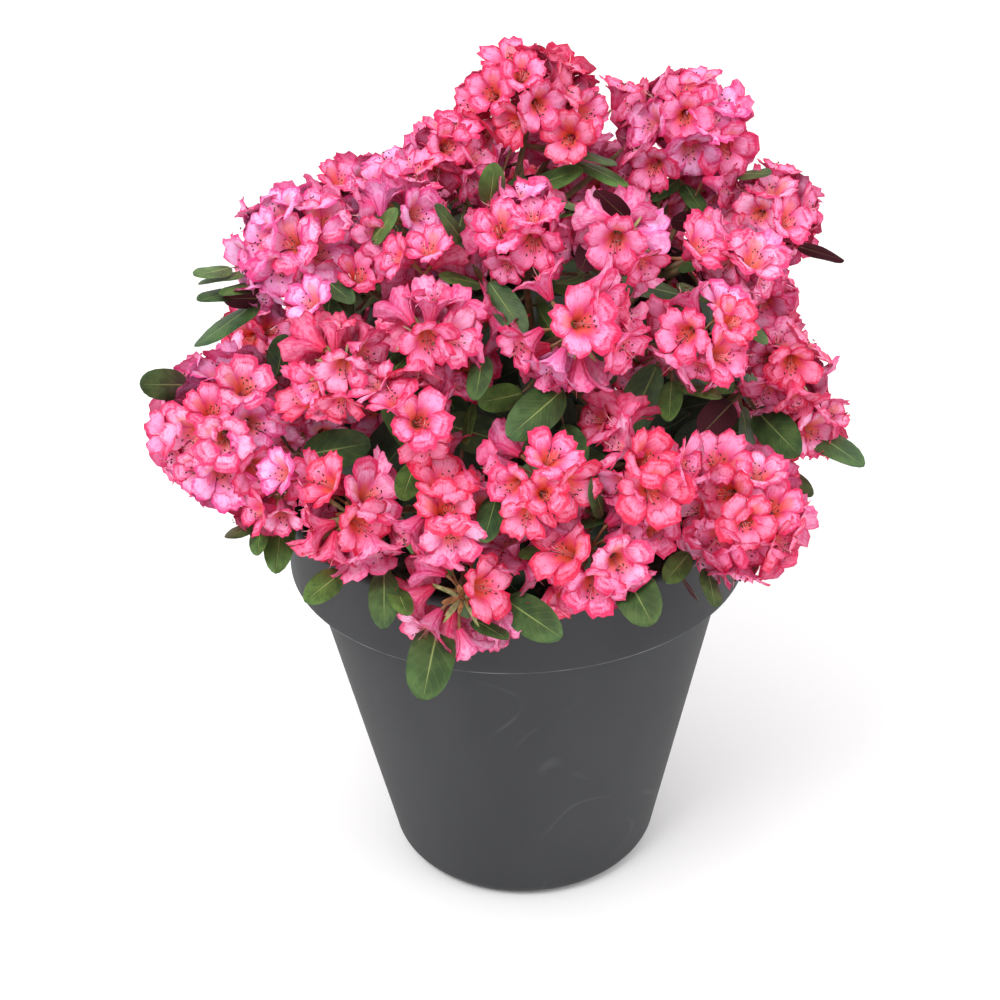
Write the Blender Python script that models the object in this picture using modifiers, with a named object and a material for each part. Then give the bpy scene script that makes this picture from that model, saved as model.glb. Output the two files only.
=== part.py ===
"""A large-flowered evergreen rhododendron (azalea family shrub) in full bloom, in a round planter.

The planter stands on its flat underside with the origin in the middle of it, +Z is up and
-Y is the front. A short stem rises from the potting compost and carries one bough for each
mass of foliage. A mass is one welded solid: a forking twig with flower heads on its tips and
a whorl of leaves below each head. All sizes are metres unless a name or a comment says mm.
"""
import itertools
import math
import random

import bmesh
import bpy
from mathutils import Matrix, Vector
from mathutils.bvhtree import BVHTree

MM = 0.001
CLEARANCE = 0.3 * MM

# Planter: a tapering round tub with a deep, slightly wider rim band.
RIM_RADIUS = 200 * MM
RIM_TOP = 367 * MM
RIM_FOOT = 302 * MM
RIM_LIP = 4 * MM
RIM_WALL = 9 * MM
BODY_TOP_RADIUS = 183.5 * MM
BODY_FOOT_RADIUS = 119.5 * MM
BODY_WALL = 4 * MM
FOOT_ROUNDING = 20 * MM
FOOT_FILLET = 24 * MM
FLOOR_THICKNESS = 5 * MM
POT_STEPS = 40

# Compost that fills the planter to a little below its rim.
COMPOST_LEVEL = 338 * MM
COMPOST_STEPS = 32

# Stem.
STEM_TOP = 432 * MM
STEM_SHARES = (0, 0.12, 0.35, 0.7, 1)
STEM_RADII = (30 * MM, 23 * MM, 21 * MM, 18 * MM, 15 * MM)
STEM_LEAN = 5 * MM
STEM_BEVEL = 8

# Boughs.
BOUGH_BASE_RADIUS = 5.6 * MM
BOUGH_TIP_RADIUS = 3.6 * MM
BOUGH_BENDS = 5
BOUGH_BEVEL = 1
BOUGH_STRAIGHT = 5 * MM
LOW_FORKS = (354 * MM, 369 * MM)
HIGH_FORKS = (386 * MM, 402 * MM)
LOW_CROWN = 530 * MM
CROWN_HEART = Vector((0, 0, 0.395))

# Twigs inside a mass.
TWIG_RADIUS = 3.4 * MM
TWIG_TIP_RADIUS = 2.6 * MM
HUB_PULL = 0.46
NECK_LENGTH = 26 * MM

# Flower heads: five-cornered funnels drawn out of the faces of a small twelve-sided core.
CORE_SHARE = 0.34
FLOWER_RADIUS = 24 * MM
FLOWER_SHARE = 0.52
FLOWER_THROAT_DEPTH = 15 * MM
FLOWER_SCALES = (1.0, 0.86, 0.72)
HEAD_CAP = math.radians(104)

# Leaves: long ovals in a whorl under each head.
LEAF_LENGTH = 96 * MM
LEAF_WIDTH = 38 * MM
LEAF_THICKNESS = 2.2 * MM
LEAF_SAG = 7 * MM
LEAF_ROOT = 1.5 * MM
LEAF_FREE = 10 * MM
LEAF_SIZES = (0.86, 1.08)
REACHING_DROOPS = (-16, -4, 8)
REACHING_DROPS = (26 * MM, 36 * MM)
REACHING_BEARINGS = 16
REACHING_DOWNWARD = 0.35
WHORL_LEAVES = 5
WHORL_DROOPS = (14, 30, 2, 46, 62, 78)
WHORL_DROPS = (26 * MM, 44 * MM)
LEAF_TURN = math.radians(137.5)
LEAF_SWINGS = (0, 0.4, -0.4, 0.8, -0.8)
LEAF_SCALES = (1.0, 0.8)
WHORL_STEP = 1.8 * MM

# A mass keeps to the space that lies nearest to its own heads.
SPACE_MARGIN = 1.3e-4
LIMB_MARGIN = 2.5 * MM
POT_MARGIN = 4 * MM

# Flower heads by mass: azimuth in degrees (0 is +X, -90 the front), then reach from the
# middle, height and head radius in mm.
HEADS = {
    "mass_crown_top": ((58, 35, 681, 62), (-157, 52, 660, 42)),
    "mass_shoulder_left": ((-156, 176, 612, 58), (-129, 129, 645, 42)),
    "mass_centre": ((-87, 133, 643, 45), (-78, 196, 593, 55)),
    "mass_centre_right": ((-58, 152, 631, 46), (-30, 196, 597, 40), (-51, 214, 570, 46)),
    "mass_shoulder_right": ((24, 158, 647, 60), (8, 216, 590, 49)),
    "mass_upper_left": ((-124, 219, 562, 46), (-108, 201, 587, 44), (-111, 232, 538, 46)),
    "mass_side_left": ((-152, 248, 483, 70), (165, 230, 424, 50), (160, 176, 560, 48)),
    "mass_side_right": ((-30, 238, 517, 43), (-22, 250, 462, 38)),
    "mass_front_right": ((-68, 244, 505, 52), (-49, 251, 438, 60)),
    "mass_front": ((-87, 244, 501, 48), (-78, 250, 441, 48)),
    "mass_front_left": ((-119, 249, 462, 50), (-103, 245, 474, 46), (-100, 248, 406, 52)),
}

# The rear of the crown: columns of two heads, and two wider groups that close its top and side.
REAR_COLUMNS = {
    "mass_rear_left": 137,
    "mass_rear_middle_left": 108,
    "mass_rear_middle_right": 80,
    "mass_rear_right": 52,
}
REAR_COLUMN_HEADS = ((2, 200, 545, 52), (-4, 244, 430, 55))
REAR_GROUPS = {
    "mass_rear_top": ((70, 136, 632, 52), (112, 116, 612, 50), (152, 118, 598, 46)),
    "mass_rear_side": ((27, 224, 540, 50), (26, 246, 432, 52), (-1, 222, 440, 48)),
}
for column_name, column_azimuth in REAR_COLUMNS.items():
    HEADS[column_name] = tuple((column_azimuth + turn, reach, height, radius)
                               for turn, reach, height, radius in REAR_COLUMN_HEADS)
HEADS.update(REAR_GROUPS)


def clear_scene():
    for item in list(bpy.data.objects):
        bpy.data.objects.remove(item, do_unlink=True)


def new_collection(name):
    collection = bpy.data.collections.new(name)
    bpy.context.scene.collection.children.link(collection)
    return collection


def material(name, colour, roughness, metallic=0.0):
    made = bpy.data.materials.new(name)
    made.use_nodes = True
    shader = made.node_tree.nodes["Principled BSDF"]
    shader.inputs["Base Color"].default_value = (*colour, 1.0)
    shader.inputs["Roughness"].default_value = roughness
    shader.inputs["Metallic"].default_value = metallic
    return made


def polar(azimuth_degrees, reach, height):
    azimuth = math.radians(azimuth_degrees)
    return Vector((reach * math.cos(azimuth), reach * math.sin(azimuth), height))


def frame_along(direction, turn=0.0):
    """Rotation whose local Z runs along the direction, turned about it."""
    return direction.to_track_quat("Z", "Y").to_matrix().to_4x4() @ Matrix.Rotation(turn, 4, "Z")


class Head:
    """A flower head: centre, outward axis, radius, and the mass that it belongs to."""

    def __init__(self, mass, row):
        azimuth, reach, height, radius = row
        self.mass = mass
        self.centre = polar(azimuth, reach * MM, height * MM)
        self.radius = radius * MM
        outward = (self.centre - CROWN_HEART).normalized()
        self.axis = (outward + Vector((0, 0, 0.18))).normalized()

    def weight(self, point):
        return (point - self.centre).length_squared - self.radius ** 2


class Limb:
    """A tapering limb: the points of its axis, each with its radius."""

    def __init__(self, name, points, radii):
        self.name = name
        self.points = points
        self.radii = radii

    def segment_at(self, height):
        """Index and share of the segment that passes a height, for an upright limb."""
        for i in range(len(self.points) - 1):
            low, high = self.points[i].z, self.points[i + 1].z
            if height <= high:
                break
        return i, (height - low) / (high - low)

    def axis_at(self, height):
        i, share = self.segment_at(height)
        return self.points[i].lerp(self.points[i + 1], share)

    def radius_at(self, height):
        i, share = self.segment_at(height)
        return self.radii[i] + (self.radii[i + 1] - self.radii[i]) * share

    def clear_of(self, point, margin):
        for i in range(len(self.points) - 1):
            start, end = self.points[i], self.points[i + 1]
            along = end - start
            share = max(0.0, min(1.0, (point - start).dot(along) / along.length_squared))
            if (point - start - along * share).length < self.radii[i] + margin:
                return False
        return True


# ---------------------------------------------------------------------------- planter

def turned(name, profile, steps, collection, surface):
    """A closed solid turned about +Z from a profile that runs down its outer side."""
    mesh = bpy.data.meshes.new(name)
    mesh.from_pydata([(x, 0, z) for x, z in profile], [(i, i + 1) for i in range(len(profile) - 1)], [])
    made = bpy.data.objects.new(name, mesh)
    collection.objects.link(made)
    mesh.materials.append(surface)
    screw = made.modifiers.new("turn", "SCREW")
    screw.steps = steps
    screw.render_steps = steps
    screw.use_merge_vertices = True
    screw.merge_threshold = 0.00005
    screw.use_smooth_shade = True
    return made


def arc(centre, radius, first, last, count):
    """Points on an arc in the XZ plane, from the first to the last angle in degrees."""
    angles = [math.radians(first + (last - first) * i / (count - 1)) for i in range(count)]
    return [(centre[0] + radius * math.cos(a), centre[1] + radius * math.sin(a)) for a in angles]


def body_radius(height):
    share = height / RIM_FOOT
    return BODY_FOOT_RADIUS + (BODY_TOP_RADIUS - BODY_FOOT_RADIUS) * share


def pot_bore(height):
    """Inner radius of the planter at a height."""
    return body_radius(height) - BODY_WALL


def inner_foot(inset, floor):
    """The inside of the planter's bottom corner, which follows the rounding of the foot."""
    return [(body_radius(0) - FOOT_ROUNDING * 0.8 - inset, floor), (pot_bore(FOOT_FILLET) - inset, FOOT_FILLET)]


def build_pot(collection):
    lip_outer = (RIM_RADIUS - RIM_LIP, RIM_TOP - RIM_LIP)
    lip_inner = (RIM_RADIUS - RIM_WALL + RIM_LIP, RIM_TOP - RIM_LIP)
    foot = (body_radius(0) - FOOT_ROUNDING * 0.8, FOOT_ROUNDING)
    profile = [(0, FLOOR_THICKNESS)] + inner_foot(0, FLOOR_THICKNESS)
    profile += [(pot_bore(RIM_FOOT), RIM_FOOT), (RIM_RADIUS - RIM_WALL, RIM_FOOT + 6 * MM)]
    profile += arc(lip_inner, RIM_LIP, 180, 90, 3)
    profile += arc(lip_outer, RIM_LIP, 90, 0, 3)
    profile += [(RIM_RADIUS, RIM_FOOT), (BODY_TOP_RADIUS, RIM_FOOT)]
    profile += arc(foot, FOOT_ROUNDING, -8, -90, 6)
    profile += [(0, 0)]
    surface = material("planter_plastic", (0.072, 0.074, 0.077), 0.5)
    return turned("pot", profile, POT_STEPS, collection, surface)


def build_compost(collection):
    gap = CLEARANCE / math.cos(math.pi / POT_STEPS)
    profile = [(0, COMPOST_LEVEL), (RIM_RADIUS - RIM_WALL - 2 * MM, COMPOST_LEVEL)]
    profile += [(RIM_RADIUS - RIM_WALL - 2 * MM, RIM_FOOT + 8 * MM)]
    profile += [(pot_bore(RIM_FOOT) - 2 * MM, RIM_FOOT)]
    profile += inner_foot(2 * MM, FLOOR_THICKNESS + gap)[::-1]
    profile += [(0, FLOOR_THICKNESS + gap)]
    surface = material("potting_compost", (0.035, 0.022, 0.014), 0.95)
    return turned("compost", profile, COMPOST_STEPS, collection, surface)


# ---------------------------------------------------------------------------- limbs

def bezier(start, start_handle, end_handle, end, share):
    rest = 1 - share
    return (start * rest ** 3 + start_handle * 3 * rest ** 2 * share
            + end_handle * 3 * rest * share ** 2 + end * share ** 3)


def stem_limb():
    foot = COMPOST_LEVEL + CLEARANCE
    points = [Vector((STEM_LEAN * share ** 2, 0, foot + (STEM_TOP - foot) * share))
              for share in STEM_SHARES]
    return Limb("stem", points, STEM_RADII)


def hub_and_neck(heads):
    """Where a mass forks, and where its stem begins."""
    middle = sum((head.centre for head in heads), Vector()) / len(heads)
    hub = middle.lerp(CROWN_HEART, HUB_PULL)
    neck = hub + (CROWN_HEART - hub).normalized() * NECK_LENGTH
    return hub, neck


def bough_limb(name, heads, stem, fork_height):
    """From the side of the stem, or from its tip for a mass right above it, to a mass's neck."""
    hub, neck = hub_and_neck(heads)
    heading = (hub - neck).normalized()
    end = neck - heading * CLEARANCE
    if math.hypot(neck.x, neck.y) < stem.radii[-1]:
        leave = (stem.points[-1] - stem.points[-2]).normalized()
        start = stem.points[-1] + leave * CLEARANCE
    else:
        leave = Vector((neck.x, neck.y, 0)).normalized()
        stem_radius = stem.radius_at(fork_height - BOUGH_BASE_RADIUS)
        start = stem.axis_at(fork_height) + leave * (stem_radius + CLEARANCE)
    first, last = start + leave * BOUGH_STRAIGHT, end - heading * BOUGH_STRAIGHT
    reach = (last - first).length
    handles = (first + leave * reach * 0.34, last - heading * reach * 0.33)
    shares = [i / (BOUGH_BENDS - 1) for i in range(BOUGH_BENDS)]
    bends = [bezier(first, handles[0], handles[1], last, share) for share in shares]
    points = [start] + bends + [end]
    taper = BOUGH_TIP_RADIUS - BOUGH_BASE_RADIUS
    radii = [BOUGH_BASE_RADIUS + taper * share for share in [0] + shares + [1]]
    return Limb(name, points, radii)


def crown_limbs(all_heads, stem):
    """One bough for each mass. Low and high boughs leave the stem in two zigzag rings."""
    rings = {LOW_FORKS: [], HIGH_FORKS: []}
    for name in HEADS:
        heads = [head for head in all_heads if head.mass == name]
        middle = sum((head.centre for head in heads), Vector()) / len(heads)
        forks = LOW_FORKS if middle.z < LOW_CROWN else HIGH_FORKS
        rings[forks].append((math.atan2(middle.y, middle.x), name, heads))
    limbs = []
    for forks, members in rings.items():
        members.sort(key=lambda member: member[0])
        for i, (azimuth, name, heads) in enumerate(members):
            limbs.append(bough_limb(name.replace("mass", "bough"), heads, stem, forks[i % 2]))
    return limbs


def build_limb(limb, bevel_resolution, collection, surface):
    curve = bpy.data.curves.new(limb.name, "CURVE")
    curve.dimensions = "3D"
    curve.bevel_depth = 1.0
    curve.bevel_resolution = bevel_resolution
    curve.use_fill_caps = True
    spline = curve.splines.new("POLY")
    spline.points.add(len(limb.points) - 1)
    for point, place, radius in zip(spline.points, limb.points, limb.radii):
        point.co = (*place, 1)
        point.radius = radius
    curve.materials.append(surface)
    made = bpy.data.objects.new(limb.name, curve)
    collection.objects.link(made)
    return made


# ---------------------------------------------------------------------------- masses

def twelve_sided(bm, radius):
    """A regular solid of twelve five-cornered faces, standing on one corner."""
    golden = (1 + math.sqrt(5)) / 2
    corners = [Vector((x, y, z)) for x in (-1, 1) for y in (-1, 1) for z in (-1, 1)]
    for small in (-1 / golden, 1 / golden):
        for large in (-golden, golden):
            corners += [Vector((0, small, large)), Vector((small, large, 0)), Vector((large, 0, small))]
    upright = Vector((1, 1, 1)).rotation_difference(Vector((0, 0, 1)))
    for corner in corners:
        bm.verts.new(upright @ corner.normalized() * radius)
    bmesh.ops.convex_hull(bm, input=bm.verts)
    bmesh.ops.dissolve_limit(bm, angle_limit=math.radians(5), verts=bm.verts, edges=bm.edges)


def leaf_blade(size, place):
    """A thin six-cornered oval from its root at the origin along +X, sagging towards its tip."""
    bm = bmesh.new()
    points_on_x = Matrix.Rotation(math.radians(30), 3, "Z")
    bmesh.ops.create_uvsphere(bm, u_segments=6, v_segments=2, radius=1.0)
    for vertex in bm.verts:
        x, y, z = points_on_x @ vertex.co
        share = (x + 1) / 2
        height = z * LEAF_THICKNESS / 2 - LEAF_SAG * share * share
        vertex.co = (share * LEAF_LENGTH, y * LEAF_WIDTH / 2, height)
    bm.transform(place @ Matrix.Scale(size, 4))
    return bm


def free_points(bm, root):
    """The corners and the middles of the edges of a blade, away from its root."""
    points = []
    for edge in bm.edges:
        start, end = (vertex.co for vertex in edge.verts)
        if min((start - root).length, (end - root).length) > LEAF_FREE:
            points += [start, end, start.lerp(end, 0.5)]
    return points


def side_walls(foot, rim):
    """The walls between two rings of corners."""
    count = len(foot)
    walls = [(i, (i + 1) % count, count + (i + 1) % count, count + i) for i in range(count)]
    return BVHTree.FromPolygons(foot + rim, walls)


class Mass:
    """Twigs, flower heads and leaves of one mass, kept to the mass's own space."""

    def __init__(self, name, heads, all_heads, limbs, seed):
        self.name = name
        self.heads = heads
        self.all_heads = all_heads
        self.limbs = limbs
        self.random = random.Random(seed)
        self.pieces = []
        self.foliage = []

    def in_space(self, point, owners):
        """True where the point lies nearer to its owners than to any other head, off the planter."""
        own = min(head.weight(point) for head in owners)
        if any(other.weight(point) - own < SPACE_MARGIN for other in self.all_heads if other not in owners):
            return False
        over_rim = point.z > RIM_TOP + POT_MARGIN
        return over_rim or math.hypot(point.x, point.y) > RIM_RADIUS + POT_MARGIN

    def fits(self, points, owners):
        return all(self.in_space(point, owners) and
                   all(limb.clear_of(point, LIMB_MARGIN) for limb in self.limbs) for point in points)

    def meets(self, tree):
        return any(tree.overlap(other) for other in self.foliage)

    def add(self, bm, slot):
        for face in bm.faces:
            face.material_index = slot
        bmesh.ops.triangulate(bm, faces=bm.faces)
        mesh = bpy.data.meshes.new(f"{self.name}_piece")
        bm.to_mesh(mesh)
        bm.free()
        self.pieces.append(mesh)

    def add_twig(self, start, end, start_radius, end_radius):
        bm = bmesh.new()
        along = end - start
        place = Matrix.Translation((start + end) / 2) @ frame_along(along.normalized())
        bmesh.ops.create_cone(bm, cap_ends=True, segments=3, radius1=start_radius, radius2=end_radius,
                              depth=along.length, matrix=place)
        self.add(bm, 2)

    def add_head(self, head):
        """A twelve-sided core whose outward faces are drawn out into funnels with sunk throats."""
        bm = bmesh.new()
        twelve_sided(bm, head.radius * CORE_SHARE)
        spin = Matrix.Rotation(self.random.uniform(0, math.tau), 4, "Z")
        bm.transform(Matrix.Translation(head.centre) @ frame_along(head.axis) @ spin)
        outward = [face for face in bm.faces
                   if (face.calc_center_median() - head.centre).angle(head.axis) < HEAD_CAP]
        for face in outward:
            self.draw_funnel(bm, face, head)
        self.foliage.append(BVHTree.FromBMesh(bm))
        self.add(bm, 0)

    def draw_funnel(self, bm, face, head):
        """Draws a face out into a funnel, smaller where it has to be, or leaves it as it is."""
        centre = face.calc_center_median()
        direction = (centre - head.centre).normalized()
        foot = [vertex.co.copy() for vertex in face.verts]
        spokes = [(corner - centre).normalized() for corner in foot]
        for scale in FLOWER_SCALES:
            mouth_radius = min(FLOWER_RADIUS, FLOWER_SHARE * head.radius) * scale
            outer = head.radius * scale
            mouth = head.centre + direction * math.sqrt(outer ** 2 - mouth_radius ** 2)
            rim = [mouth + spoke * mouth_radius for spoke in spokes]
            if self.fits(rim, self.heads) and not self.meets(side_walls(foot, rim)):
                break
        else:
            return
        drawn = bmesh.ops.extrude_discrete_faces(bm, faces=[face])["faces"][0]
        for vertex in drawn.verts:
            vertex.co = min(zip(foot, rim), key=lambda pair: (pair[0] - vertex.co).length)[1]
        throat = bmesh.ops.poke(bm, faces=[drawn])["verts"][0]
        throat.co = mouth - direction * FLOWER_THROAT_DEPTH * scale

    def leaf_heading(self, head, bearing, droop):
        """Along a leaf and out of its upper side, for a bearing round its head and a droop."""
        across = frame_along(head.axis, bearing).col[0].to_3d()
        angle = math.radians(droop)
        along = across * math.cos(angle) - head.axis * math.sin(angle)
        return along, head.axis * math.cos(angle) + across * math.sin(angle)

    def add_leaf(self, head, inward, poses):
        """A long oval that leaves the twig sideways, in the first pose where it meets nothing."""
        size = self.random.uniform(*LEAF_SIZES)
        for scale, droop, drop, bearing in poses:
            along, normal = self.leaf_heading(head, bearing, droop)
            root = head.centre + inward * drop
            axes = Matrix((along, normal.cross(along), normal)).transposed().to_4x4()
            bm = leaf_blade(size * scale, Matrix.Translation(root - along * LEAF_ROOT) @ axes)
            tree = BVHTree.FromBMesh(bm)
            if not self.meets(tree) and self.fits(free_points(bm, root), self.heads):
                self.foliage.append(tree)
                self.add(bm, 1)
                return
            bm.free()

    def add_reaching_leaf(self, head, inward):
        """The leaf that gets farthest out and down, where it shows past the flower head."""
        bearings = [math.tau * k / REACHING_BEARINGS for k in range(REACHING_BEARINGS)]

        def tip_reach(pose):
            scale, droop, drop, bearing = pose
            along, normal = self.leaf_heading(head, bearing, droop)
            tip = head.centre + inward * drop + along * LEAF_LENGTH * scale
            return math.hypot(tip.x, tip.y) - tip.z * REACHING_DOWNWARD

        poses = itertools.product((1.0,), REACHING_DROOPS, REACHING_DROPS, bearings)
        self.add_leaf(head, inward, sorted(poses, key=tip_reach, reverse=True))

    def add_whorl(self, head, inward, phase):
        """Leaves round the twig, each a little lower than the one before."""
        for i in range(WHORL_LEAVES):
            drops = [drop + i * WHORL_STEP for drop in WHORL_DROPS]
            bearings = [phase + i * LEAF_TURN + swing for swing in LEAF_SWINGS]
            self.add_leaf(head, inward, itertools.product(LEAF_SCALES, WHORL_DROOPS, drops, bearings))

    def grow(self):
        hub, neck = hub_and_neck(self.heads)
        self.add_twig(neck, hub + (hub - neck).normalized() * 2 * MM, TWIG_RADIUS, TWIG_RADIUS)
        ways = [(head, (hub - head.centre).normalized()) for head in self.heads]
        for head, inward in ways:
            self.add_twig(hub + inward * 3 * MM, head.centre, TWIG_RADIUS, TWIG_TIP_RADIUS)
            self.add_reaching_leaf(head, inward)
        for head in self.heads:
            self.add_head(head)
        for head, inward in ways:
            self.add_whorl(head, inward, self.random.uniform(0, math.tau))

    def weld(self, collection, surfaces):
        """One union of all pieces; scraps and sealed hollows that it leaves are dropped."""
        pieces = bpy.data.collections.new(f"{self.name}_pieces")
        bpy.context.scene.collection.children.link(pieces)
        for mesh in self.pieces:
            for surface in surfaces:
                mesh.materials.append(surface)
        for mesh in self.pieces[1:]:
            pieces.objects.link(bpy.data.objects.new(mesh.name, mesh))
        made = bpy.data.objects.new(self.name, self.pieces[0])
        collection.objects.link(made)
        union = made.modifiers.new("weld", "BOOLEAN")
        union.operand_type = "COLLECTION"
        union.collection = pieces
        union.operation = "UNION"
        union.solver = "EXACT"
        bpy.context.view_layer.update()
        result = bpy.data.meshes.new_from_object(made.evaluated_get(bpy.context.evaluated_depsgraph_get()))
        made.modifiers.remove(union)
        made.data = result
        result.name = self.name
        for item in list(pieces.objects):
            bpy.data.objects.remove(item, do_unlink=True)
        bpy.data.collections.remove(pieces)
        keep_largest_shell(result)
        return made


def keep_largest_shell(mesh):
    bm = bmesh.new()
    bm.from_mesh(mesh)
    bmesh.ops.triangulate(bm, faces=bm.faces)
    unseen = set(bm.faces)
    shells = []
    while unseen:
        shell = set()
        queue = [unseen.pop()]
        while queue:
            face = queue.pop()
            shell.add(face)
            for edge in face.edges:
                for other in edge.link_faces:
                    if other in unseen:
                        unseen.remove(other)
                        queue.append(other)
        shells.append(shell)
    largest = max(shells, key=len)
    scraps = [face for shell in shells if shell is not largest for face in shell]
    bmesh.ops.delete(bm, geom=scraps, context="FACES")
    bm.to_mesh(mesh)
    bm.free()


def main():
    clear_scene()
    shrub = new_collection("potted_rhododendron")
    build_pot(shrub)
    build_compost(shrub)

    bark = material("bark", (0.105, 0.068, 0.043), 0.85)
    twig_bark = material("young_bark", (0.16, 0.11, 0.05), 0.75)
    leaf = material("leaf", (0.026, 0.075, 0.022), 0.45)

    all_heads = [Head(name, row) for name, rows in HEADS.items() for row in rows]
    stem = stem_limb()
    limbs = [stem] + crown_limbs(all_heads, stem)
    build_limb(stem, STEM_BEVEL, shrub, bark)
    for limb in limbs[1:]:
        build_limb(limb, BOUGH_BEVEL, shrub, bark)

    for seed, name in enumerate(HEADS, start=1):
        heads = [head for head in all_heads if head.mass == name]
        mass = Mass(name, heads, all_heads, limbs, seed)
        mass.grow()
        tint = mass.random.uniform(-0.03, 0.03)
        blossom = material(f"{name}_blossom", (0.86, 0.22 + tint, 0.36 + tint), 0.55)
        mass.weld(shrub, (blossom, leaf, twig_bark))


main()
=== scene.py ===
# %% [markdown]
# # A potted rhododendron in full bloom
# The real thing is a compact evergreen shrub in a round plastic planter. Domed heads of funnel
# flowers cover it, with a whorl of leathery leaves under each head. The packed solids give the
# planter, the stem, the boughs and one plain solid for each mass of foliage. This lesson keeps
# their places and makes every surface again, finer, from a few rules.

# %% The frame
import math

import bpy
import numpy as np
from mathutils import Matrix, Vector, noise


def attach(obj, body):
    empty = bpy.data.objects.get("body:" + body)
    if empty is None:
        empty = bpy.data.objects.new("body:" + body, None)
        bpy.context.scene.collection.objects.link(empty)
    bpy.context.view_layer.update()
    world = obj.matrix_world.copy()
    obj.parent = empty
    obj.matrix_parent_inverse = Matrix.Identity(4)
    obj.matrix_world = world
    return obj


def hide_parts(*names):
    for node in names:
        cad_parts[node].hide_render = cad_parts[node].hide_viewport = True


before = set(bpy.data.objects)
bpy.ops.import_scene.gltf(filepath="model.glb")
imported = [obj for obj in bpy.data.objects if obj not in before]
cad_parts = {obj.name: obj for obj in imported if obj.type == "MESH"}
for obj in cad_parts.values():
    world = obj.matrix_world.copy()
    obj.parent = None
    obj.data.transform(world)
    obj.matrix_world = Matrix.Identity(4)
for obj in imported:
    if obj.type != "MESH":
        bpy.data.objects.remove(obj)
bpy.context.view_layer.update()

dice = np.random.default_rng(23)
MM = 0.001

# %% [markdown]
# ## The camera
# A shrub that stands on the ground is looked down upon. A camera can be aimed by hand or by a
# Track To constraint; here its three axes are worked out, because the same axes also turn a
# point of the view into a direction, which places some of the leaves further down.

# %% Camera
VIEW_SIZE = 1000
LENS = 65.0
SENSOR = 36.0
PITCH = math.radians(29.45)
ROLL = math.radians(-1.81)
DISTANCE = 1.573
AIM = np.array([-0.0145, 0.0, 0.3475])
PIXEL = SENSOR / LENS / VIEW_SIZE

forward = np.array([0.0, math.cos(PITCH), -math.sin(PITCH)])
level_right = np.array([1.0, 0.0, 0.0])
level_up = np.array([0.0, math.sin(PITCH), math.cos(PITCH)])
right = math.cos(ROLL) * level_right + math.sin(ROLL) * level_up
upward = math.cos(ROLL) * level_up - math.sin(ROLL) * level_right
eye = AIM - forward * DISTANCE

lens = bpy.data.cameras.new("camera")
lens.lens = LENS
lens.sensor_width = SENSOR
camera = bpy.data.objects.new("camera", lens)
camera.matrix_world = Matrix.Translation(eye) @ Matrix((right, upward, -forward)).transposed().to_4x4()
bpy.context.scene.collection.objects.link(camera)
bpy.context.scene.camera = camera


def sight(x, y):
    """Unit direction from the camera through a point of the view."""
    half = VIEW_SIZE / 2
    ray = forward + right * (x - half) * PIXEL + upward * (half - y) * PIXEL
    return ray / np.linalg.norm(ray)


print("camera at", eye.round(3))

# %% [markdown]
# ## Shader maths
# Node trees can be wired by hand in the Shader Editor, but formulas are easier to read as
# Python. A Wire holds one output socket, and its operators add Math nodes. Colours pass through
# Mix nodes instead, because a Math node would turn them grey.


# %% Wires
class Wire:
    """One output socket of a node tree, so that shader maths reads as plain expressions."""

    def __init__(self, finish, socket):
        self.finish = finish
        self.socket = socket

    def maths(self, operation, *others):
        inputs = dict(enumerate((self,) + others))
        return self.finish.node("ShaderNodeMath", {"operation": operation}, inputs)

    def __add__(self, other):
        return self.maths("ADD", other)

    def __mul__(self, other):
        return self.maths("MULTIPLY", other)

    def __sub__(self, other):
        return self.maths("SUBTRACT", other)

    def __rsub__(self, other):
        return self * -1 + other

    def __pow__(self, other):
        return self.maths("POWER", other)

    def __mod__(self, other):
        return self.maths("FLOORED_MODULO", other)

    __radd__ = __add__
    __rmul__ = __mul__

    def size(self):
        return self.maths("ABSOLUTE")

    def sine(self):
        return self.maths("SINE")

    def top(self, other):
        return self.maths("MAXIMUM", other)

    def above(self, limit):
        return self.maths("GREATER_THAN", limit)

    def clamped(self):
        return self.top(0.0).maths("MINIMUM", 1.0)

    def rise(self, low, high):
        """0 below low, 1 above high and smooth between them."""
        sockets = {"Value": self, "From Min": low, "From Max": high}
        return self.finish.node("ShaderNodeMapRange", {"interpolation_type": "SMOOTHSTEP"}, sockets)


print("what a wire can do:", [name for name in vars(Wire) if not name.startswith("__")])

# %% [markdown]
# ## Finishes
# A finish holds a material and adds nodes to it in one line each. Colours are given as a colour
# picker shows them and turned into the linear values that the shader takes.


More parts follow.
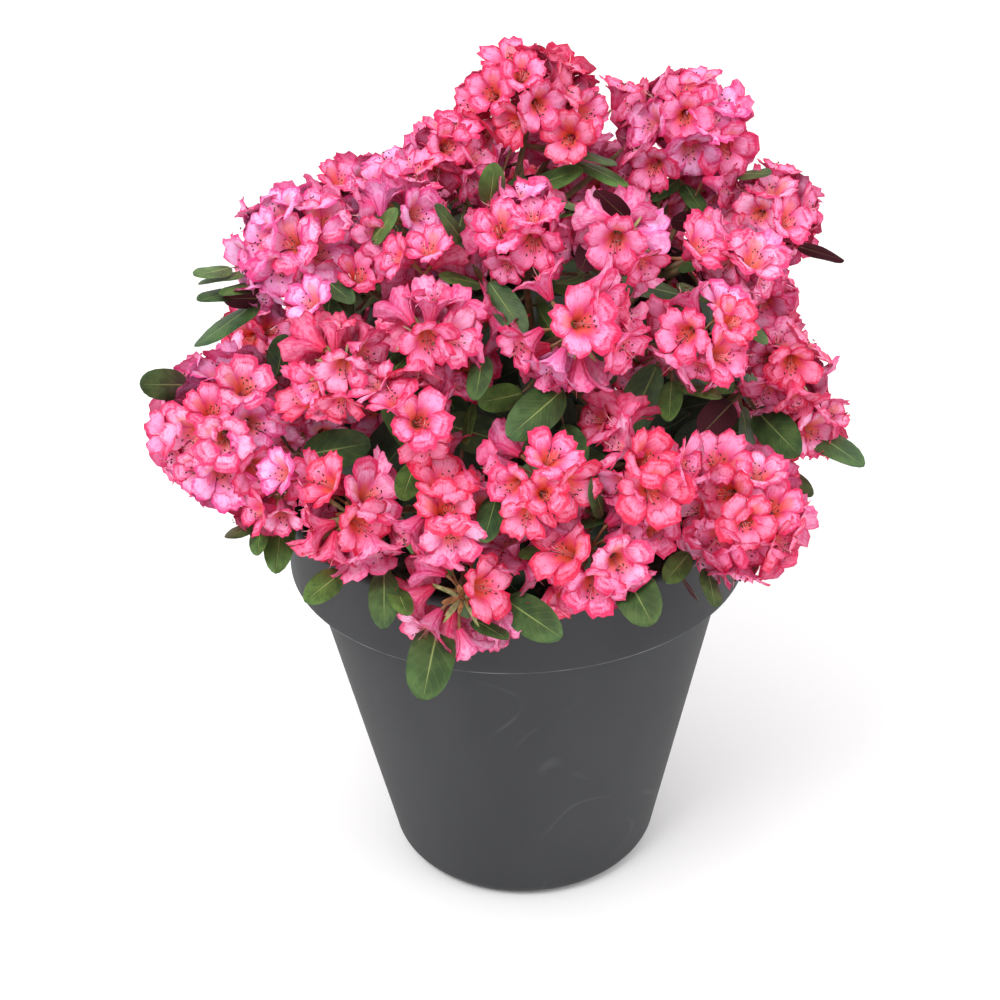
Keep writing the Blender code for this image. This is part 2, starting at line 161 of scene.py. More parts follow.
# %% Finishes
class Finish:
    """A material with one Principled shader, and short ways to add nodes to it."""

    def __init__(self, name, **constants):
        self.material = bpy.data.materials.new(name)
        self.material.use_nodes = True
        self.tree = self.material.node_tree
        self.shader = self.tree.nodes["Principled BSDF"]
        for socket, value in constants.items():
            self.shader.inputs[socket.replace("_", " ")].default_value = value

    def node(self, kind, settings=None, sockets=None, output=0):
        """Adds a node: its settings first, then the values or links of its sockets."""
        made = self.tree.nodes.new(kind)
        for setting, value in (settings or {}).items():
            setattr(made, setting, value)
        for socket, value in (sockets or {}).items():
            self.feed(made.inputs[socket], value)
        return Wire(self, made.outputs[output])

    def feed(self, socket, value):
        if isinstance(value, Wire):
            self.tree.links.new(value.socket, socket)
        elif socket.type == "RGBA" and len(value) == 3:
            socket.default_value = (*value, 1.0)
        else:
            socket.default_value = value

    def blend(self, share, first, second):
        """The first colour where share is 0, the second where it is 1."""
        return self.node("ShaderNodeMix", {"data_type": "RGBA"}, {0: share, 6: first, 7: second}, 2)

    def grain(self, scale, detail=3.0, where=None, stretch=None):
        """Noise from 0 to 1, over the object's own space or over a given one."""
        where = where or self.node("ShaderNodeTexCoord", output=3)
        if stretch:
            where = self.node("ShaderNodeVectorMath", {"operation": "MULTIPLY"}, {0: where, 1: stretch})
        return self.node("ShaderNodeTexNoise", {}, {"Vector": where, "Scale": scale, "Detail": detail})

    def tiles(self, columns, rows):
        """Where a point lies across and along its tile of a UV map, and the tile's row."""
        uv = self.node("ShaderNodeUVMap", {"uv_map": "OFBake"})
        split = self.node("ShaderNodeSeparateXYZ", {}, {0: uv})
        u = split * columns
        v = Wire(self, split.socket.node.outputs[1]) * rows
        return uv, (u % 1) * 2 - 1, v % 1, u.maths("FLOOR"), v.maths("FLOOR")

    def wear(self, colour=None, roughness=None, height=None, depth=0.0):
        """Feeds the shader: colour, roughness, and relief from a height in metres."""
        if colour is not None:
            self.feed(self.shader.inputs["Base Color"], colour)
        if roughness is not None:
            self.feed(self.shader.inputs["Roughness"], roughness)
        if height is not None:
            sockets = {"Height": height, "Distance": depth, "Strength": 1.0}
            self.feed(self.shader.inputs["Normal"], self.node("ShaderNodeBump", {}, sockets))
        return self.material


def paint(red, green, blue):
    """A linear colour from the 0 to 255 values that a colour picker shows."""
    parts = (value / 255 for value in (red, green, blue))
    return tuple(part / 12.92 if part < 0.04045 else ((part + 0.055) / 1.055) ** 2.4 for part in parts)


def mottled(name, grain, first, second, span=None, relief=0.0, **constants):
    """A material of two tones dealt out by noise, which can also give it a fine relief."""
    finish = Finish(name, **constants)
    tone = finish.grain(*grain)
    share = tone.rise(*span) if span else tone
    colour = finish.blend(share, paint(*first), paint(*second))
    return finish.wear(colour, None, tone if relief else None, relief)


print("a leaf green as the shader takes it:", [round(part, 3) for part in paint(76, 108, 56)])


# %% [markdown]
# ## Gathering many small shapes
# A shrub needs thousands of petals and leaves. Particles or instances would be light to edit,
# but only real meshes ride along with the part, so copies of a few templates are written
# straight into one big mesh with numpy, one mesh for each kind and colour.


# %% Shapes
PIECE_LIMIT = 200000


def unit(vectors):
    return vectors / np.linalg.norm(vectors, axis=-1, keepdims=True)


def facing(along, hint):
    """Rotations whose Z runs along one direction and whose X leans towards another."""
    z = unit(np.asarray(along, float))
    hint = np.broadcast_to(np.asarray(hint, float), z.shape)
    x = unit(hint - z * (hint * z).sum(-1, keepdims=True))
    return np.stack([x, np.cross(z, x), z], -1)


def grid_corners(rows, columns, flip=False):
    """Triangles between the points of a grid of rows and columns."""
    r, c = np.meshgrid(np.arange(rows - 1), np.arange(columns - 1), indexing="ij")
    first = (r * columns + c).ravel()
    across, along = first + 1, first + columns
    corner = along + 1
    triangles = np.concatenate([np.stack([first, across, corner], 1), np.stack([first, corner, along], 1)])
    return triangles[:, ::-1] if flip else triangles


class Shape:
    """Points and triangles of a template, and the places of its points in a map if it has one."""

    def __init__(self, points, corners, uv=None):
        self.points = points
        self.corners = corners
        self.uv = np.zeros((len(points), 2)) if uv is None else uv

    def joined(self, *others):
        shapes = (self,) + others
        starts = np.cumsum([0] + [len(shape.points) for shape in shapes[:-1]])
        corners = [shape.corners + start for shape, start in zip(shapes, starts)]
        points, uv = (np.concatenate([getattr(shape, part) for shape in shapes]) for part in ("points", "uv"))
        return Shape(points, np.concatenate(corners), uv)

    def turned(self, degrees):
        turn = np.array(Matrix.Rotation(math.radians(degrees), 3, "Z"))
        return Shape(self.points @ turn.T, self.corners, self.uv)


print("triangles in a grid of 3 by 3 points:", len(grid_corners(3, 3)))

# %% [markdown]
# ## Bundles and tubes
# A bundle turns, sizes and places many copies of a shape at once, and writes them as one mesh.
# A tube is a skin round a line of points, for boughs, twigs, stalks and stamens.


# %% Bundles and tubes
class Bundle:
    """Copies of templates, gathered into one mesh."""

    def __init__(self, name):
        self.name = name
        self.parts = []

    def add(self, shape, turns=None, spots=None, sizes=None):
        if turns is None:
            self.parts.append(shape)
            return
        scaled = turns * np.asarray(sizes, float).reshape(-1, 1, 1)
        placed = np.einsum("nij,vj->nvi", scaled, shape.points) + spots[:, None]
        count, width = placed.shape[:2]
        corners = shape.corners[None] + (np.arange(count) * width)[:, None, None]
        self.parts.append(Shape(placed.reshape(-1, 3), corners.reshape(-1, 3), np.tile(shape.uv, (count, 1))))

    def piece(self, finish, slot, replaced=(), mapped=False):
        whole = self.parts[0].joined(*self.parts[1:])
        mesh = bpy.data.meshes.new(self.name)
        count = len(whole.corners)
        mesh.vertices.add(len(whole.points))
        mesh.vertices.foreach_set("co", whole.points.astype(np.float32).ravel())
        mesh.loops.add(count * 3)
        mesh.loops.foreach_set("vertex_index", whole.corners.astype(np.int32).ravel())
        mesh.polygons.add(count)
        mesh.polygons.foreach_set("loop_start", np.arange(0, count * 3, 3, dtype=np.int32))
        mesh.polygons.foreach_set("use_smooth", np.ones(count, bool))
        if mapped:
            layer = mesh.uv_layers.new(name="OFBake")
            layer.data.foreach_set("uv", whole.uv[whole.corners.ravel()].astype(np.float32).ravel())
        mesh.update(calc_edges=True)
        mesh.materials.append(finish)
        made = bpy.data.objects.new(self.name, mesh)
        bpy.context.scene.collection.objects.link(made)
        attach(made, "root")
        for node in replaced:
            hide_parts(node)
        print(f"{self.name}: {count} triangles")
        assert count < PIECE_LIMIT, self.name
        return made


def tube(points, radii, sides=6, relief=None):
    """A skin round a line of points, closed at its far end. Relief moves it by side and station."""
    points = np.asarray(points, float)
    way = unit(np.gradient(points, axis=0))
    hint = np.array([0.31, 0.17, 0.94]) if abs(way[:, 2]).max() < 0.9 else np.array([0.94, 0.31, 0.17])
    turns = facing(way, hint)
    angle = np.linspace(0, math.tau, sides + 1)
    ring = np.stack([np.cos(angle), np.sin(angle), np.zeros(sides + 1)], 1)
    reach = np.asarray(radii, float)[:, None] * np.ones(sides + 1)
    if relief is not None:
        reach = reach + relief
    skin = points[:, None] + np.einsum("nij,vj->nvi", turns, ring) * reach[..., None]
    skin[-1] = points[-1]
    return Shape(skin.reshape(-1, 3), grid_corners(len(points), sides + 1))


# %% [markdown]
# ## Heads, twigs and boughs
# The plan of the shrub is a table of flower heads: azimuth in degrees, then reach from the
# middle, height and head radius in millimetres. The heads of one mass share a fork, the hub, and
# each mass hangs on one bough of the short stem. The rule is the one that made the solids, so
# twigs and boughs lie where they do.
#
# A second table holds small heads that no solid stands for. They close the grooves between the
# others, as the flowers of a real plant do, and hang on the hub of their mass. One head is turned,
# so that its bare middle shows at a given place of the view.

# %% The plan of the crown
HEADS = {
    "crown_top": ((58, 35, 681, 62), (-157, 52, 660, 42)),
    "shoulder_left": ((-156, 176, 612, 58), (-129, 129, 645, 42)),
    "centre": ((-87, 133, 643, 45), (-78, 196, 593, 55)),
    "centre_right": ((-58, 152, 631, 46), (-30, 196, 597, 40), (-51, 214, 570, 46)),
    "shoulder_right": ((24, 158, 647, 60), (8, 216, 590, 49)),
    "upper_left": ((-124, 219, 562, 46), (-108, 201, 587, 44), (-111, 232, 538, 46)),
    "side_left": ((-152, 248, 483, 70), (165, 230, 424, 50), (160, 176, 560, 48)),
    "side_right": ((-30, 238, 517, 43), (-22, 250, 462, 38)),
    "front_right": ((-68, 244, 505, 52), (-49, 251, 438, 60)),
    "front": ((-87, 244, 501, 48), (-78, 250, 441, 48)),
    "front_left": ((-119, 249, 462, 50), (-103, 245, 474, 46), (-100, 248, 406, 52)),
}
REAR_COLUMNS = {"rear_left": 137, "rear_middle_left": 108, "rear_middle_right": 80, "rear_right": 52}
for column_name, azimuth in REAR_COLUMNS.items():
    HEADS[column_name] = ((azimuth + 2, 200, 545, 52), (azimuth - 4, 244, 430, 55))
HEADS["rear_top"] = ((70, 136, 632, 52), (112, 116, 612, 50), (152, 118, 598, 46))
HEADS["rear_side"] = ((27, 224, 540, 50), (26, 246, 432, 52), (-1, 222, 440, 48))

CROWN_HEART = np.array([0.0, 0.0, 0.395])
AXIS_LIFT = 0.18
HUB_PULL = 0.46
NECK_LENGTH = 26 * MM


class Head:
    """A flower head: centre, outward axis, radius, and the mass that it belongs to."""

    def __init__(self, mass, order, row):
        azimuth, reach, height, radius = row
        angle = math.radians(azimuth)
        self.mass = mass
        self.name = f"{mass}.{order}"
        self.centre = np.array([reach * math.cos(angle), reach * math.sin(angle), height]) * MM
        self.radius = radius * MM
        self.axis = unit(unit(self.centre - CROWN_HEART) + np.array([0, 0, AXIS_LIFT]))

    def weight(self, points):
        return ((points - self.centre) ** 2).sum(-1) - self.radius ** 2


heads = [Head(mass, order, row) for mass, rows in HEADS.items() for order, row in enumerate(rows)]
masses = {mass: [head for head in heads if head.mass == mass] for mass in HEADS}

for members in masses.values():
    middle = sum(head.centre for head in members) / len(members)
    hub = middle + (CROWN_HEART - middle) * HUB_PULL
    for head in members:
        head.hub = hub
        head.neck = hub + unit(CROWN_HEART - hub) * NECK_LENGTH
        head.inward = unit(hub - head.centre)

SMALL_HEADS = {
    "crown_top": ((22, 105, 652, 28), (-143, 50, 585, 34), (153, 11, 600, 34)),
    "shoulder_left": ((-114, 158, 619, 39), (-121, 141, 605, 34), (-140, 150, 595, 32)),
    "centre": ((-104, 128, 622, 34), (-97, 161, 587, 30), (-70, 203, 516, 32)),
    "shoulder_right": ((11, 129, 638, 40), (11, 159, 616, 38), (1, 199, 579, 36)),
    "upper_left": ((-106, 203, 541, 34), (-103, 220, 502, 34)),
    "side_left": ((-146, 247, 428, 34), (-139, 245, 447, 34), (-150, 192, 462, 36)),
    "side_right": ((-14, 205, 556, 34), (-6, 188, 443, 36)),
    "front": ((-84, 240, 408, 32),),
    "front_left": ((-106, 223, 428, 34), (-91, 225, 421, 34)),
    "rear_top": ((172, 125, 622, 38), (-178, 160, 590, 34), (45, 150, 600, 36)),
    "rear_left": ((172, 215, 500, 36),),
    "rear_side": ((50, 200, 520, 36),),
    "rear_right": ((26, 136, 589, 36), (16, 111, 607, 36), (-2, 158, 580, 34), (36, 93, 612, 36),
                   (25, 178, 598, 34)),
}
for mass, rows in SMALL_HEADS.items():
    for order, row in enumerate(rows):
        head = Head(mass, f"small_{order}", row)
        head.hub, head.neck = masses[mass][0].hub, masses[mass][0].neck
        head.inward = unit(head.hub - head.centre)
        heads.append(head)
centres = np.array([head.centre for head in heads])
reaches = np.array([head.radius for head in heads])
TURNED_HEADS = {"centre.1": (588, 374)}
for head in heads:
    if head.name in TURNED_HEADS:
        ray = sight(*TURNED_HEADS[head.name])
        near = eye + ray * (np.linalg.norm(head.centre - eye) - head.radius)
        head.axis = unit(near - head.centre)
print("heads:", len(heads), "small:", sum("small" in head.name for head in heads), "masses:", len(masses))

# %% [markdown]
# The stem tapers from a flared foot in the compost. Low and high boughs leave it in two zigzag
# rings, so that no two meet, and curve out to the necks of the masses. A Bezier curve with two
# handles gives each its sweep.

# %% Limb lines
STEM_FOOT = 338.3 * MM
STEM_TOP = 432 * MM
STEM_LEAN = 5 * MM
STEM_SHARES = (0, 0.12, 0.35, 0.7, 1)
STEM_RADII = np.array([30, 23, 21, 18, 15]) * MM
LOW_FORKS = (354 * MM, 369 * MM)
HIGH_FORKS = (386 * MM, 402 * MM)
LOW_CROWN = 530 * MM
BOUGH_RADII = (5.6 * MM, 3.6 * MM)
TWIG_RADII = (3.4 * MM, 2.3 * MM)


def stem_axis(height):
    share = (height - STEM_FOOT) / (STEM_TOP - STEM_FOOT)
    return np.array([STEM_LEAN * share ** 2, 0, height])


def stem_radius(height):
    return np.interp((height - STEM_FOOT) / (STEM_TOP - STEM_FOOT), STEM_SHARES, STEM_RADII)


def sweep(start, leave, end, arrive, count):
    """A smooth line that leaves along one direction and arrives along another."""
    reach = np.linalg.norm(end - start)
    share = np.linspace(0, 1, count)[:, None]
    rest = 1 - share
    first, last = start + leave * reach * 0.34, end - arrive * reach * 0.33
    return start * rest ** 3 + first * 3 * rest ** 2 * share + last * 3 * rest * share ** 2 + end * share ** 3


def bough_line(members, fork):
    hub, neck = members[0].hub, members[0].neck
    if math.hypot(neck[0], neck[1]) < STEM_RADII[-1]:
        leave = unit(stem_axis(STEM_TOP) - stem_axis(STEM_TOP - 20 * MM))
        start = stem_axis(STEM_TOP - 3 * MM)
    else:
        leave = unit(np.array([neck[0], neck[1], 0]))
        start = stem_axis(fork) + leave * (stem_radius(fork) - 4 * MM)
    return sweep(start, leave, hub, unit(hub - neck), 46)


boughs = {}
for forks, low in ((LOW_FORKS, True), (HIGH_FORKS, False)):
    middles = {mass: sum(head.centre for head in members) / len(members) for mass, members in masses.items()}
    ring = [mass for mass, middle in middles.items() if (middle[2] < LOW_CROWN) == low]
    ring.sort(key=lambda mass: math.atan2(middles[mass][1], middles[mass][0]))
    for order, mass in enumerate(ring):
        boughs[mass] = bough_line(masses[mass], forks[order % 2])
limb_points = np.concatenate(list(boughs.values()))
print("boughs:", len(boughs))

# %% [markdown]
# ## Bark
# Old stems of this shrub have thin brown bark that splits into long shallow plates. Relief in
# the mesh gives the plates their edges and noise in the finish gives them their colour, because
# a bump alone would leave the outline smooth.

# %% Bark finish and limbs
bark = Finish("bark", Roughness=0.85)
plates = bark.grain(60, 5, stretch=(1, 1, 0.25))
flecks = bark.grain(420, 2)
bark_colour = bark.blend(plates.rise(0.35, 0.65), paint(58, 42, 30), paint(122, 98, 74))
bark.wear(bark.blend(flecks.rise(0.55, 0.75), bark_colour, paint(150, 138, 110)), 0.8 + flecks * 0.15,
          plates * 0.7 + flecks * 0.3, 0.0012)


def bark_relief(stations, sides, depth, seed):
    """Long shallow plates: a value per side and station, the same at both ends of the ring."""
    relief = np.zeros((stations, sides + 1))
    for i in range(stations):
        for j in range(sides):
            angle = math.tau * j / sides
            spot = Vector((math.cos(angle) * 1.6, math.sin(angle) * 1.6, i * 0.11 + seed * 7.3))
            relief[i, j] = noise.fractal(spot, 0.7, 2.0, 3)
    relief[:, sides] = relief[:, 0]
    return relief * depth


stem_heights = np.linspace(STEM_FOOT - 6 * MM, STEM_TOP, 40)
stem_line = np.array([stem_axis(height) for height in stem_heights])
stem_skin = Bundle("stem_bark")
stem_skin.add(tube(stem_line, stem_radius(stem_heights), 28, bark_relief(40, 28, 1.6 * MM, 0)))
stem_skin.piece(bark.material, "bark", ["stem"])

bough_skin = Bundle("bough_bark")
for order, (mass, line) in enumerate(boughs.items(), start=1):
    radii = np.linspace(*BOUGH_RADII, len(line))
    radii[0:3] += np.array([2.5, 1.2, 0.4]) * MM
    bough_skin.add(tube(line, radii, 14, bark_relief(len(line), 14, 0.7 * MM, order)))
bough_skin.piece(bark.material, "bark", [f"bough_{mass}" for mass in boughs])

# %% [markdown]
# ## Twigs
# Each head sits on its own shoot, green-brown and smooth, that springs from the hub of its mass
# with a slight bow. A Skin modifier could grow these from a drawn skeleton, but a tube round a
# computed line needs no hand and ends exactly in the head.

# %% Young bark and twigs
shoot_bark = mottled("young_bark", (160, 3), (96, 84, 48), (128, 92, 66), (0.35, 0.7), 0.0004, Roughness=0.6)

twigs = Bundle("twigs")
for head in heads:
    tip = head.centre + head.inward * 2 * MM
    line = sweep(head.hub, unit(head.hub - head.neck), tip, -head.inward, 12)
    twigs.add(tube(line, np.linspace(*TWIG_RADII, len(line)), 8))
twigs.piece(shoot_bark, "young_bark")

# %% [markdown]
# ## A leaf
# Leaves are long ovals with a blunt tip, a pale sunken midrib and edges that bend down a little.
# Each is a sheet with a green upper face and a dark maroon felted lower one. The two faces meet
# at the edge, so the leaf is closed and reads right from both sides.

# %% Leaf templates
LEAF_WIDTH = 0.42
LEAF_THICKNESS = 0.006
MIDRIB_SHARE = 0.13
LEAF_KINDS = 6
LEAF_ROWS = 11
LEAF_ACROSS = 9
TILE_COLUMNS = 4
TILE_ROWS = 2
TILE_MARGIN = 0.04


def tile_uv(across, along, column, row):
    """UV places inside one tile, with a margin round it."""
    inner = 1 - 2 * TILE_MARGIN
    u = (column + TILE_MARGIN + inner * (across + 1) / 2) / TILE_COLUMNS
    v = (row + TILE_MARGIN + inner * along) / TILE_ROWS
    return np.stack([u, v], -1).reshape(-1, 2)


def two_faced(upper, lower, across, along, column):
    """A thin closed sheet, with its face in the upper row of tiles and its back in the lower."""
    rows, columns = across.shape
    face_uv, back_uv = (tile_uv(across, along, column, row) for row in (1, 0))
    face = Shape(upper.reshape(-1, 3), grid_corners(rows, columns, flip=True), face_uv)
    return face.joined(Shape(lower.reshape(-1, 3), grid_corners(rows, columns), back_uv))


def leaf_template(column):
    """A leaf of length 1 along +X with its upper side over +Z."""
    t, s = np.meshgrid(np.linspace(-1, 1, LEAF_ACROSS), (1 - np.cos(np.linspace(0, math.pi, LEAF_ROWS))) / 2)
    width = LEAF_WIDTH / 2 * (1 - np.abs(2 * s ** 0.9 - 1) ** 2.4) ** 0.62
    width[0] = 0.012
    sag = dice.uniform(0.02, 0.13)
    twist = dice.uniform(-0.25, 0.25)
    wave = 0.012 * np.sin(s * 9 + dice.uniform(0, 6)) * np.abs(t) ** 2
    cup = dice.uniform(0.1, 0.26)
    y = t * width
    rib, swell = np.exp(-(t / MIDRIB_SHARE) ** 2), np.sin(math.pi * s)
    z = -cup * np.abs(y) ** 1.5 * 1.6 - sag * s ** 2 + wave - 0.008 * rib * swell
    z = z + y * twist * s
    top = np.stack([s, y, z], -1)
    rim = np.maximum(np.abs(t) ** 6, np.maximum(s, 1 - s) ** 14)
    thickness = LEAF_THICKNESS * (1 - rim) + 0.012 * rib * swell
    return two_faced(top, top - np.array([0, 0, 1]) * thickness[..., None], t, s, column)


leaf_kinds = [leaf_template(kind % TILE_COLUMNS) for kind in range(LEAF_KINDS)]
print("leaf kinds:", len(leaf_kinds), "triangles each:", len(leaf_kinds[0].corners))

# %% [markdown]
# ## Leaf finish
# The upper face is deep green, with a pale midrib and faint side veins that run out at a slant,
# and the lower one is felted dark maroon. A painted image would do, but a formula over the place
# across and along the leaf needs no file. There are three greens: fresh and deep ones for the
# whorls under the flowers, and a much darker one, painted shade, for the older leaves inside the shrub.


# %% Leaf finish
def leaf_surface(name, deep, fresh, rib):
    finish = Finish(name, Specular_IOR_Level=0.4, Coat_Weight=0.08, Coat_Roughness=0.4)
    uv, across, along, _, row = finish.tiles(TILE_COLUMNS, TILE_ROWS)
    patches = finish.grain(9, 4, uv)
    fine = finish.grain(90, 3, uv)
    midrib = (0.085 - across.size() - along * 0.05).rise(0, 0.05)
    ribs = ((along * 1.35 - across.size() * 0.42) * 34).sine()
    side_veins = ribs.rise(0.86, 1.0) * (0.95 - across.size()).rise(0, 0.3)
    pillows = ribs.size().rise(0.0, 0.9)
    face = finish.blend(patches.rise(0.3, 0.72), deep, fresh)
    face = finish.blend((side_veins * 0.07 + fine.rise(0.6, 0.8) * 0.1).clamped(), face, rib)
    face = finish.blend(midrib * 0.8, face, rib)
    dots = finish.node("ShaderNodeTexVoronoi", {"feature": "F1"}, {"Vector": uv, "Scale": 75.0})
    specks = (0.07 - dots).rise(0, 0.02) * patches.rise(0.52, 0.6)
    face = finish.blend(specks * 0.7, face, paint(214, 214, 196))
    felt = finish.blend(fine.rise(0.3, 0.7), paint(50, 8, 22), paint(82, 20, 34))
    felt = finish.blend(midrib * 0.7, felt, paint(140, 128, 84))
    colour = finish.blend(row, felt, face)
    rough = row * -0.32 + 0.85 + (patches - 0.5) * 0.12
    finish.wear(colour, rough, pillows * -0.25 + midrib * -1.2 + fine * 0.2, 0.0005)
    return finish.material


LEAF_GREENS = {
    # The darkest green is painted shade for the older leaves deep inside the crown.
    "leaves_shade_dark": ((22, 40, 24), (42, 64, 36), (84, 104, 60)),
    "leaves_deep": ((46, 76, 40), (76, 108, 56), (150, 176, 104)),
    "leaves_fresh": ((60, 94, 42), (94, 130, 60), (170, 194, 116)),
}
LEAF_FINISHES = {name: leaf_surface(name, *(paint(*green) for green in greens))
                 for name, greens in LEAF_GREENS.items()}
print("leaf finishes:", list(LEAF_FINISHES))

# %% [markdown]
# ## Leaves round each shoot
# Leaves spring from the shoot in golden-angle steps below the flowers, and droop a little. Some
# are aimed: a row of the table gives base and tip as places of the view, the width seen there,
# the side that shows (1 for the upper, -1 for the lower), and how many millimetres the leaf comes
# forward. The rest follow the rule. A leaf that would cut a bough, the planter, another leaf or
# the flowers of another head tries another droop, and is left out if none is free. So is one
# that would hide an aimed leaf, and nearly every young one that the camera would see in a gap.

# %% Leaf places
GOLDEN = math.pi * (3 - math.sqrt(5))
RIM_RADIUS = 200 * MM
RIM_TOP = 367 * MM
COMPOST_LEVEL = 338 * MM
WHORL_LEAVES = 6
WHORL_DROPS = (32 * MM, 50 * MM)
OLDER_LEAVES = 4
OLDER_DROPS = (60 * MM, 95 * MM)
LEAF_LENGTHS = (62 * MM, 92 * MM)
HEAD_HINT = (0.3, 0.2, 0.9)
DROOPS = (12, 26, 0, 40, 56, 72)
HEAD_ROOM = 0.86
LEAF_GAP = 9 * MM
BOUGH_GAP = 7 * MM
SEEN_CHANCE = 0.06
FRONT_HALF = 60 * MM
SHOWN_DROPS = (24 * MM, 32 * MM, 40 * MM)
SHOWN_LENGTHS = (40 * MM, 100 * MM)
SHOWN_SHARES = (0.68, 0.82, 0.96)
PETIOLE = 0.14
SLANT = 0.6
SHOWN_LEAVES = {
    "front_left.2": [(441, 610, 424, 694, 46, 1, -14), (497, 594, 556, 634, 39),
                     (478, 622, 507, 634, 13)],
    "front.1": [(616, 556, 650, 619, 44, 1, -5), (548, 546, 521, 556, 16), (604, 514, 581, 526, 14)],
    "front_right.1": [(692, 550, 666, 581, 25), (709, 575, 718, 603, 15), (680, 576, 705, 600, 9, -1)],
    "front_left.0": [(347, 568, 309, 598, 28), (384, 562, 384, 624, 31), (392, 580, 409, 612, 20)],
    "side_left.0": [(284, 500, 276, 569, 31), (262, 515, 255, 551, 18), (250, 525, 227, 537, 14),
                    (198, 385, 141, 384, 31), (292, 457, 369, 443, 39, 1, 38), (277, 375, 284, 338, 27)],
    "shoulder_left.0": [(228, 268, 195, 274, 13), (252, 272, 199, 279, 8), (240, 291, 200, 296, 14),
                        (284, 299, 221, 295, 20, -1), (262, 284, 222, 290, 12), (268, 294, 194, 345, 18),
                        (312, 270, 353, 299, 20, 1, 28), (345, 293, 350, 314, 14, 1, 20)],
    "shoulder_left.1": [(376, 234, 392, 210, 15, 1, 22)],
    "centre.0": [(489, 209, 494, 168, 26), (466, 246, 440, 205, 15, 1, 10), (486, 286, 443, 272, 11),
                 (484, 275, 523, 331, 30, 1, 15), (582, 275, 557, 279, 7)],
    "crown_top.0": [(568, 157, 629, 182, 12), (583, 152, 615, 164, 9), (518, 192, 581, 166, 19)],
    "centre_right.0": [(632, 224, 595, 185, 22, -1), (592, 203, 553, 217, 6), (580, 207, 555, 196, 6),
                       (594, 240, 577, 274, 24, -1), (590, 278, 600, 294, 11)],
    "shoulder_right.0": [(682, 180, 703, 211, 17), (672, 184, 650, 200, 14)],
    "shoulder_right.1": [(783, 243, 847, 255, 13, -1), (708, 224, 668, 217, 20, -1),
                         (704, 257, 680, 271, 12), (746, 173, 769, 169, 6)],
    "centre_right.1": [(681, 283, 712, 298, 9), (735, 312, 767, 339, 12)],
    "side_right.0": [(750, 404, 795, 450, 38), (733, 402, 698, 438, 34, -1)],
    "side_right.1": [(788, 417, 865, 460, 24), (780, 462, 811, 496, 18)],
    "upper_left.1": [(485, 350, 474, 396, 24, 1, 18)],
    "centre.1": [(571, 383, 514, 432, 42, 1, 12), (522, 393, 483, 402, 28), (560, 420, 584, 461, 26)],
    "front.0": [(499, 487, 484, 540, 27), (602, 511, 595, 480, 16)],
    "centre_right.2": [(672, 378, 668, 417, 24), (668, 381, 721, 393, 10)],
    "front_left.1": [(431, 493, 419, 513, 15), (416, 460, 402, 499, 26), (468, 417, 463, 441, 11)],
}


class Leaf:
    """Where a leaf grows: its root, its turn (X to the tip, Z out of its upper face) and length."""

    def __init__(self, root, along, normal, length):
        side = unit(np.cross(normal, along))
        self.shoot = root
        self.root = root
        self.old = False
        self.length = length
        self.turn = np.stack([along, side, np.cross(along, side)], -1)
        half = side * length * LEAF_WIDTH / 2 * 0.8
        sag = np.array([0, 0, -0.04 * length])
        spine = [root + along * length * share for share in (0.3, 0.55, 0.8, 1.0)]
        edges = [spine[1] + half, spine[1] - half, spine[2] + half * 0.8, spine[2] - half * 0.8]
        self.probes = np.array(spine + edges) + sag


def leaf_fits(leaf, head):
    """True where a leaf is clear of other heads, boughs, the planter and earlier leaves."""
    probes = leaf.probes
    gaps = np.linalg.norm(probes[:, None] - centres[None], axis=-1) / reaches
    others = np.array([other is not head for other in heads])
    if (gaps[:, others] < HEAD_ROOM).any():
        return False
    if np.linalg.norm(probes[:, None] - limb_points[None], axis=-1).min() < BOUGH_GAP:
        return False
    out = np.hypot(probes[:, 0], probes[:, 1])
    low = probes[:, 2] < RIM_TOP + 2 * MM
    if (low & (out < RIM_RADIUS + 3 * MM) & (out > RIM_RADIUS - 16 * MM)).any():
        return False
    if ((probes[:, 2] < COMPOST_LEVEL + 3 * MM) & (out < RIM_RADIUS)).any():
        return False
    if leaves:
        taken = np.concatenate([other.probes for other in leaves])
        return np.linalg.norm(probes[:, None] - taken[None], axis=-1).min() > LEAF_GAP
    return True


def shown_leaf(head, base_x, base_y, tip_x, tip_y, width, side=1, forward_by=0):
    """A leaf from a head's shoot that the camera sees from a base to a tip, and that wide."""
    base_ray, tip_ray = sight(base_x, base_y), sight(tip_x, tip_y)
    shoots = [head.centre + head.inward * drop for drop in SHOWN_DROPS]
    shoot = min(shoots, key=lambda spot: np.linalg.norm(np.cross(spot - eye, base_ray)))
    root = eye + base_ray * ((shoot - eye) @ base_ray - forward_by * MM)
    middle = (root - eye) @ tip_ray
    foot = eye + tip_ray * middle
    off = np.linalg.norm(root - foot)
    real_width = width * PIXEL * middle
    blade = LEAF_WIDTH * (1 - PETIOLE)
    length = float(np.clip(max(real_width / blade, off * 1.12, 52 * MM), *SHOWN_LENGTHS))
    if off < SLANT * length:
        root = foot + (root - foot) / off * SLANT * length
        off = SLANT * length
    tip = eye + tip_ray * (middle - math.sqrt(max(length ** 2 - off ** 2, 0)))
    along = unit(tip - root)
    view = unit(eye - root)
    towards = unit(view - along * (view @ along))
    sideways = np.cross(along, towards)
    share = min(real_width / (blade * length), 1.0)
    turned = [towards * share * side + sideways * sign * math.sqrt(1 - share ** 2) for sign in (-1, 1)]
    leaf = Leaf(root, along, max(turned, key=lambda normal: normal[2]), length)
    leaf.shoot = shoot
    leaf.shown_width = width
    return leaf


print("rows of aimed leaves:", sum(len(rows) for rows in SHOWN_LEAVES.values()))

# %% [markdown]
# The aimed leaves are placed first. Points on the outer part of all but the narrowest are kept, so
# that what comes later can be tested against the line from the camera to them.

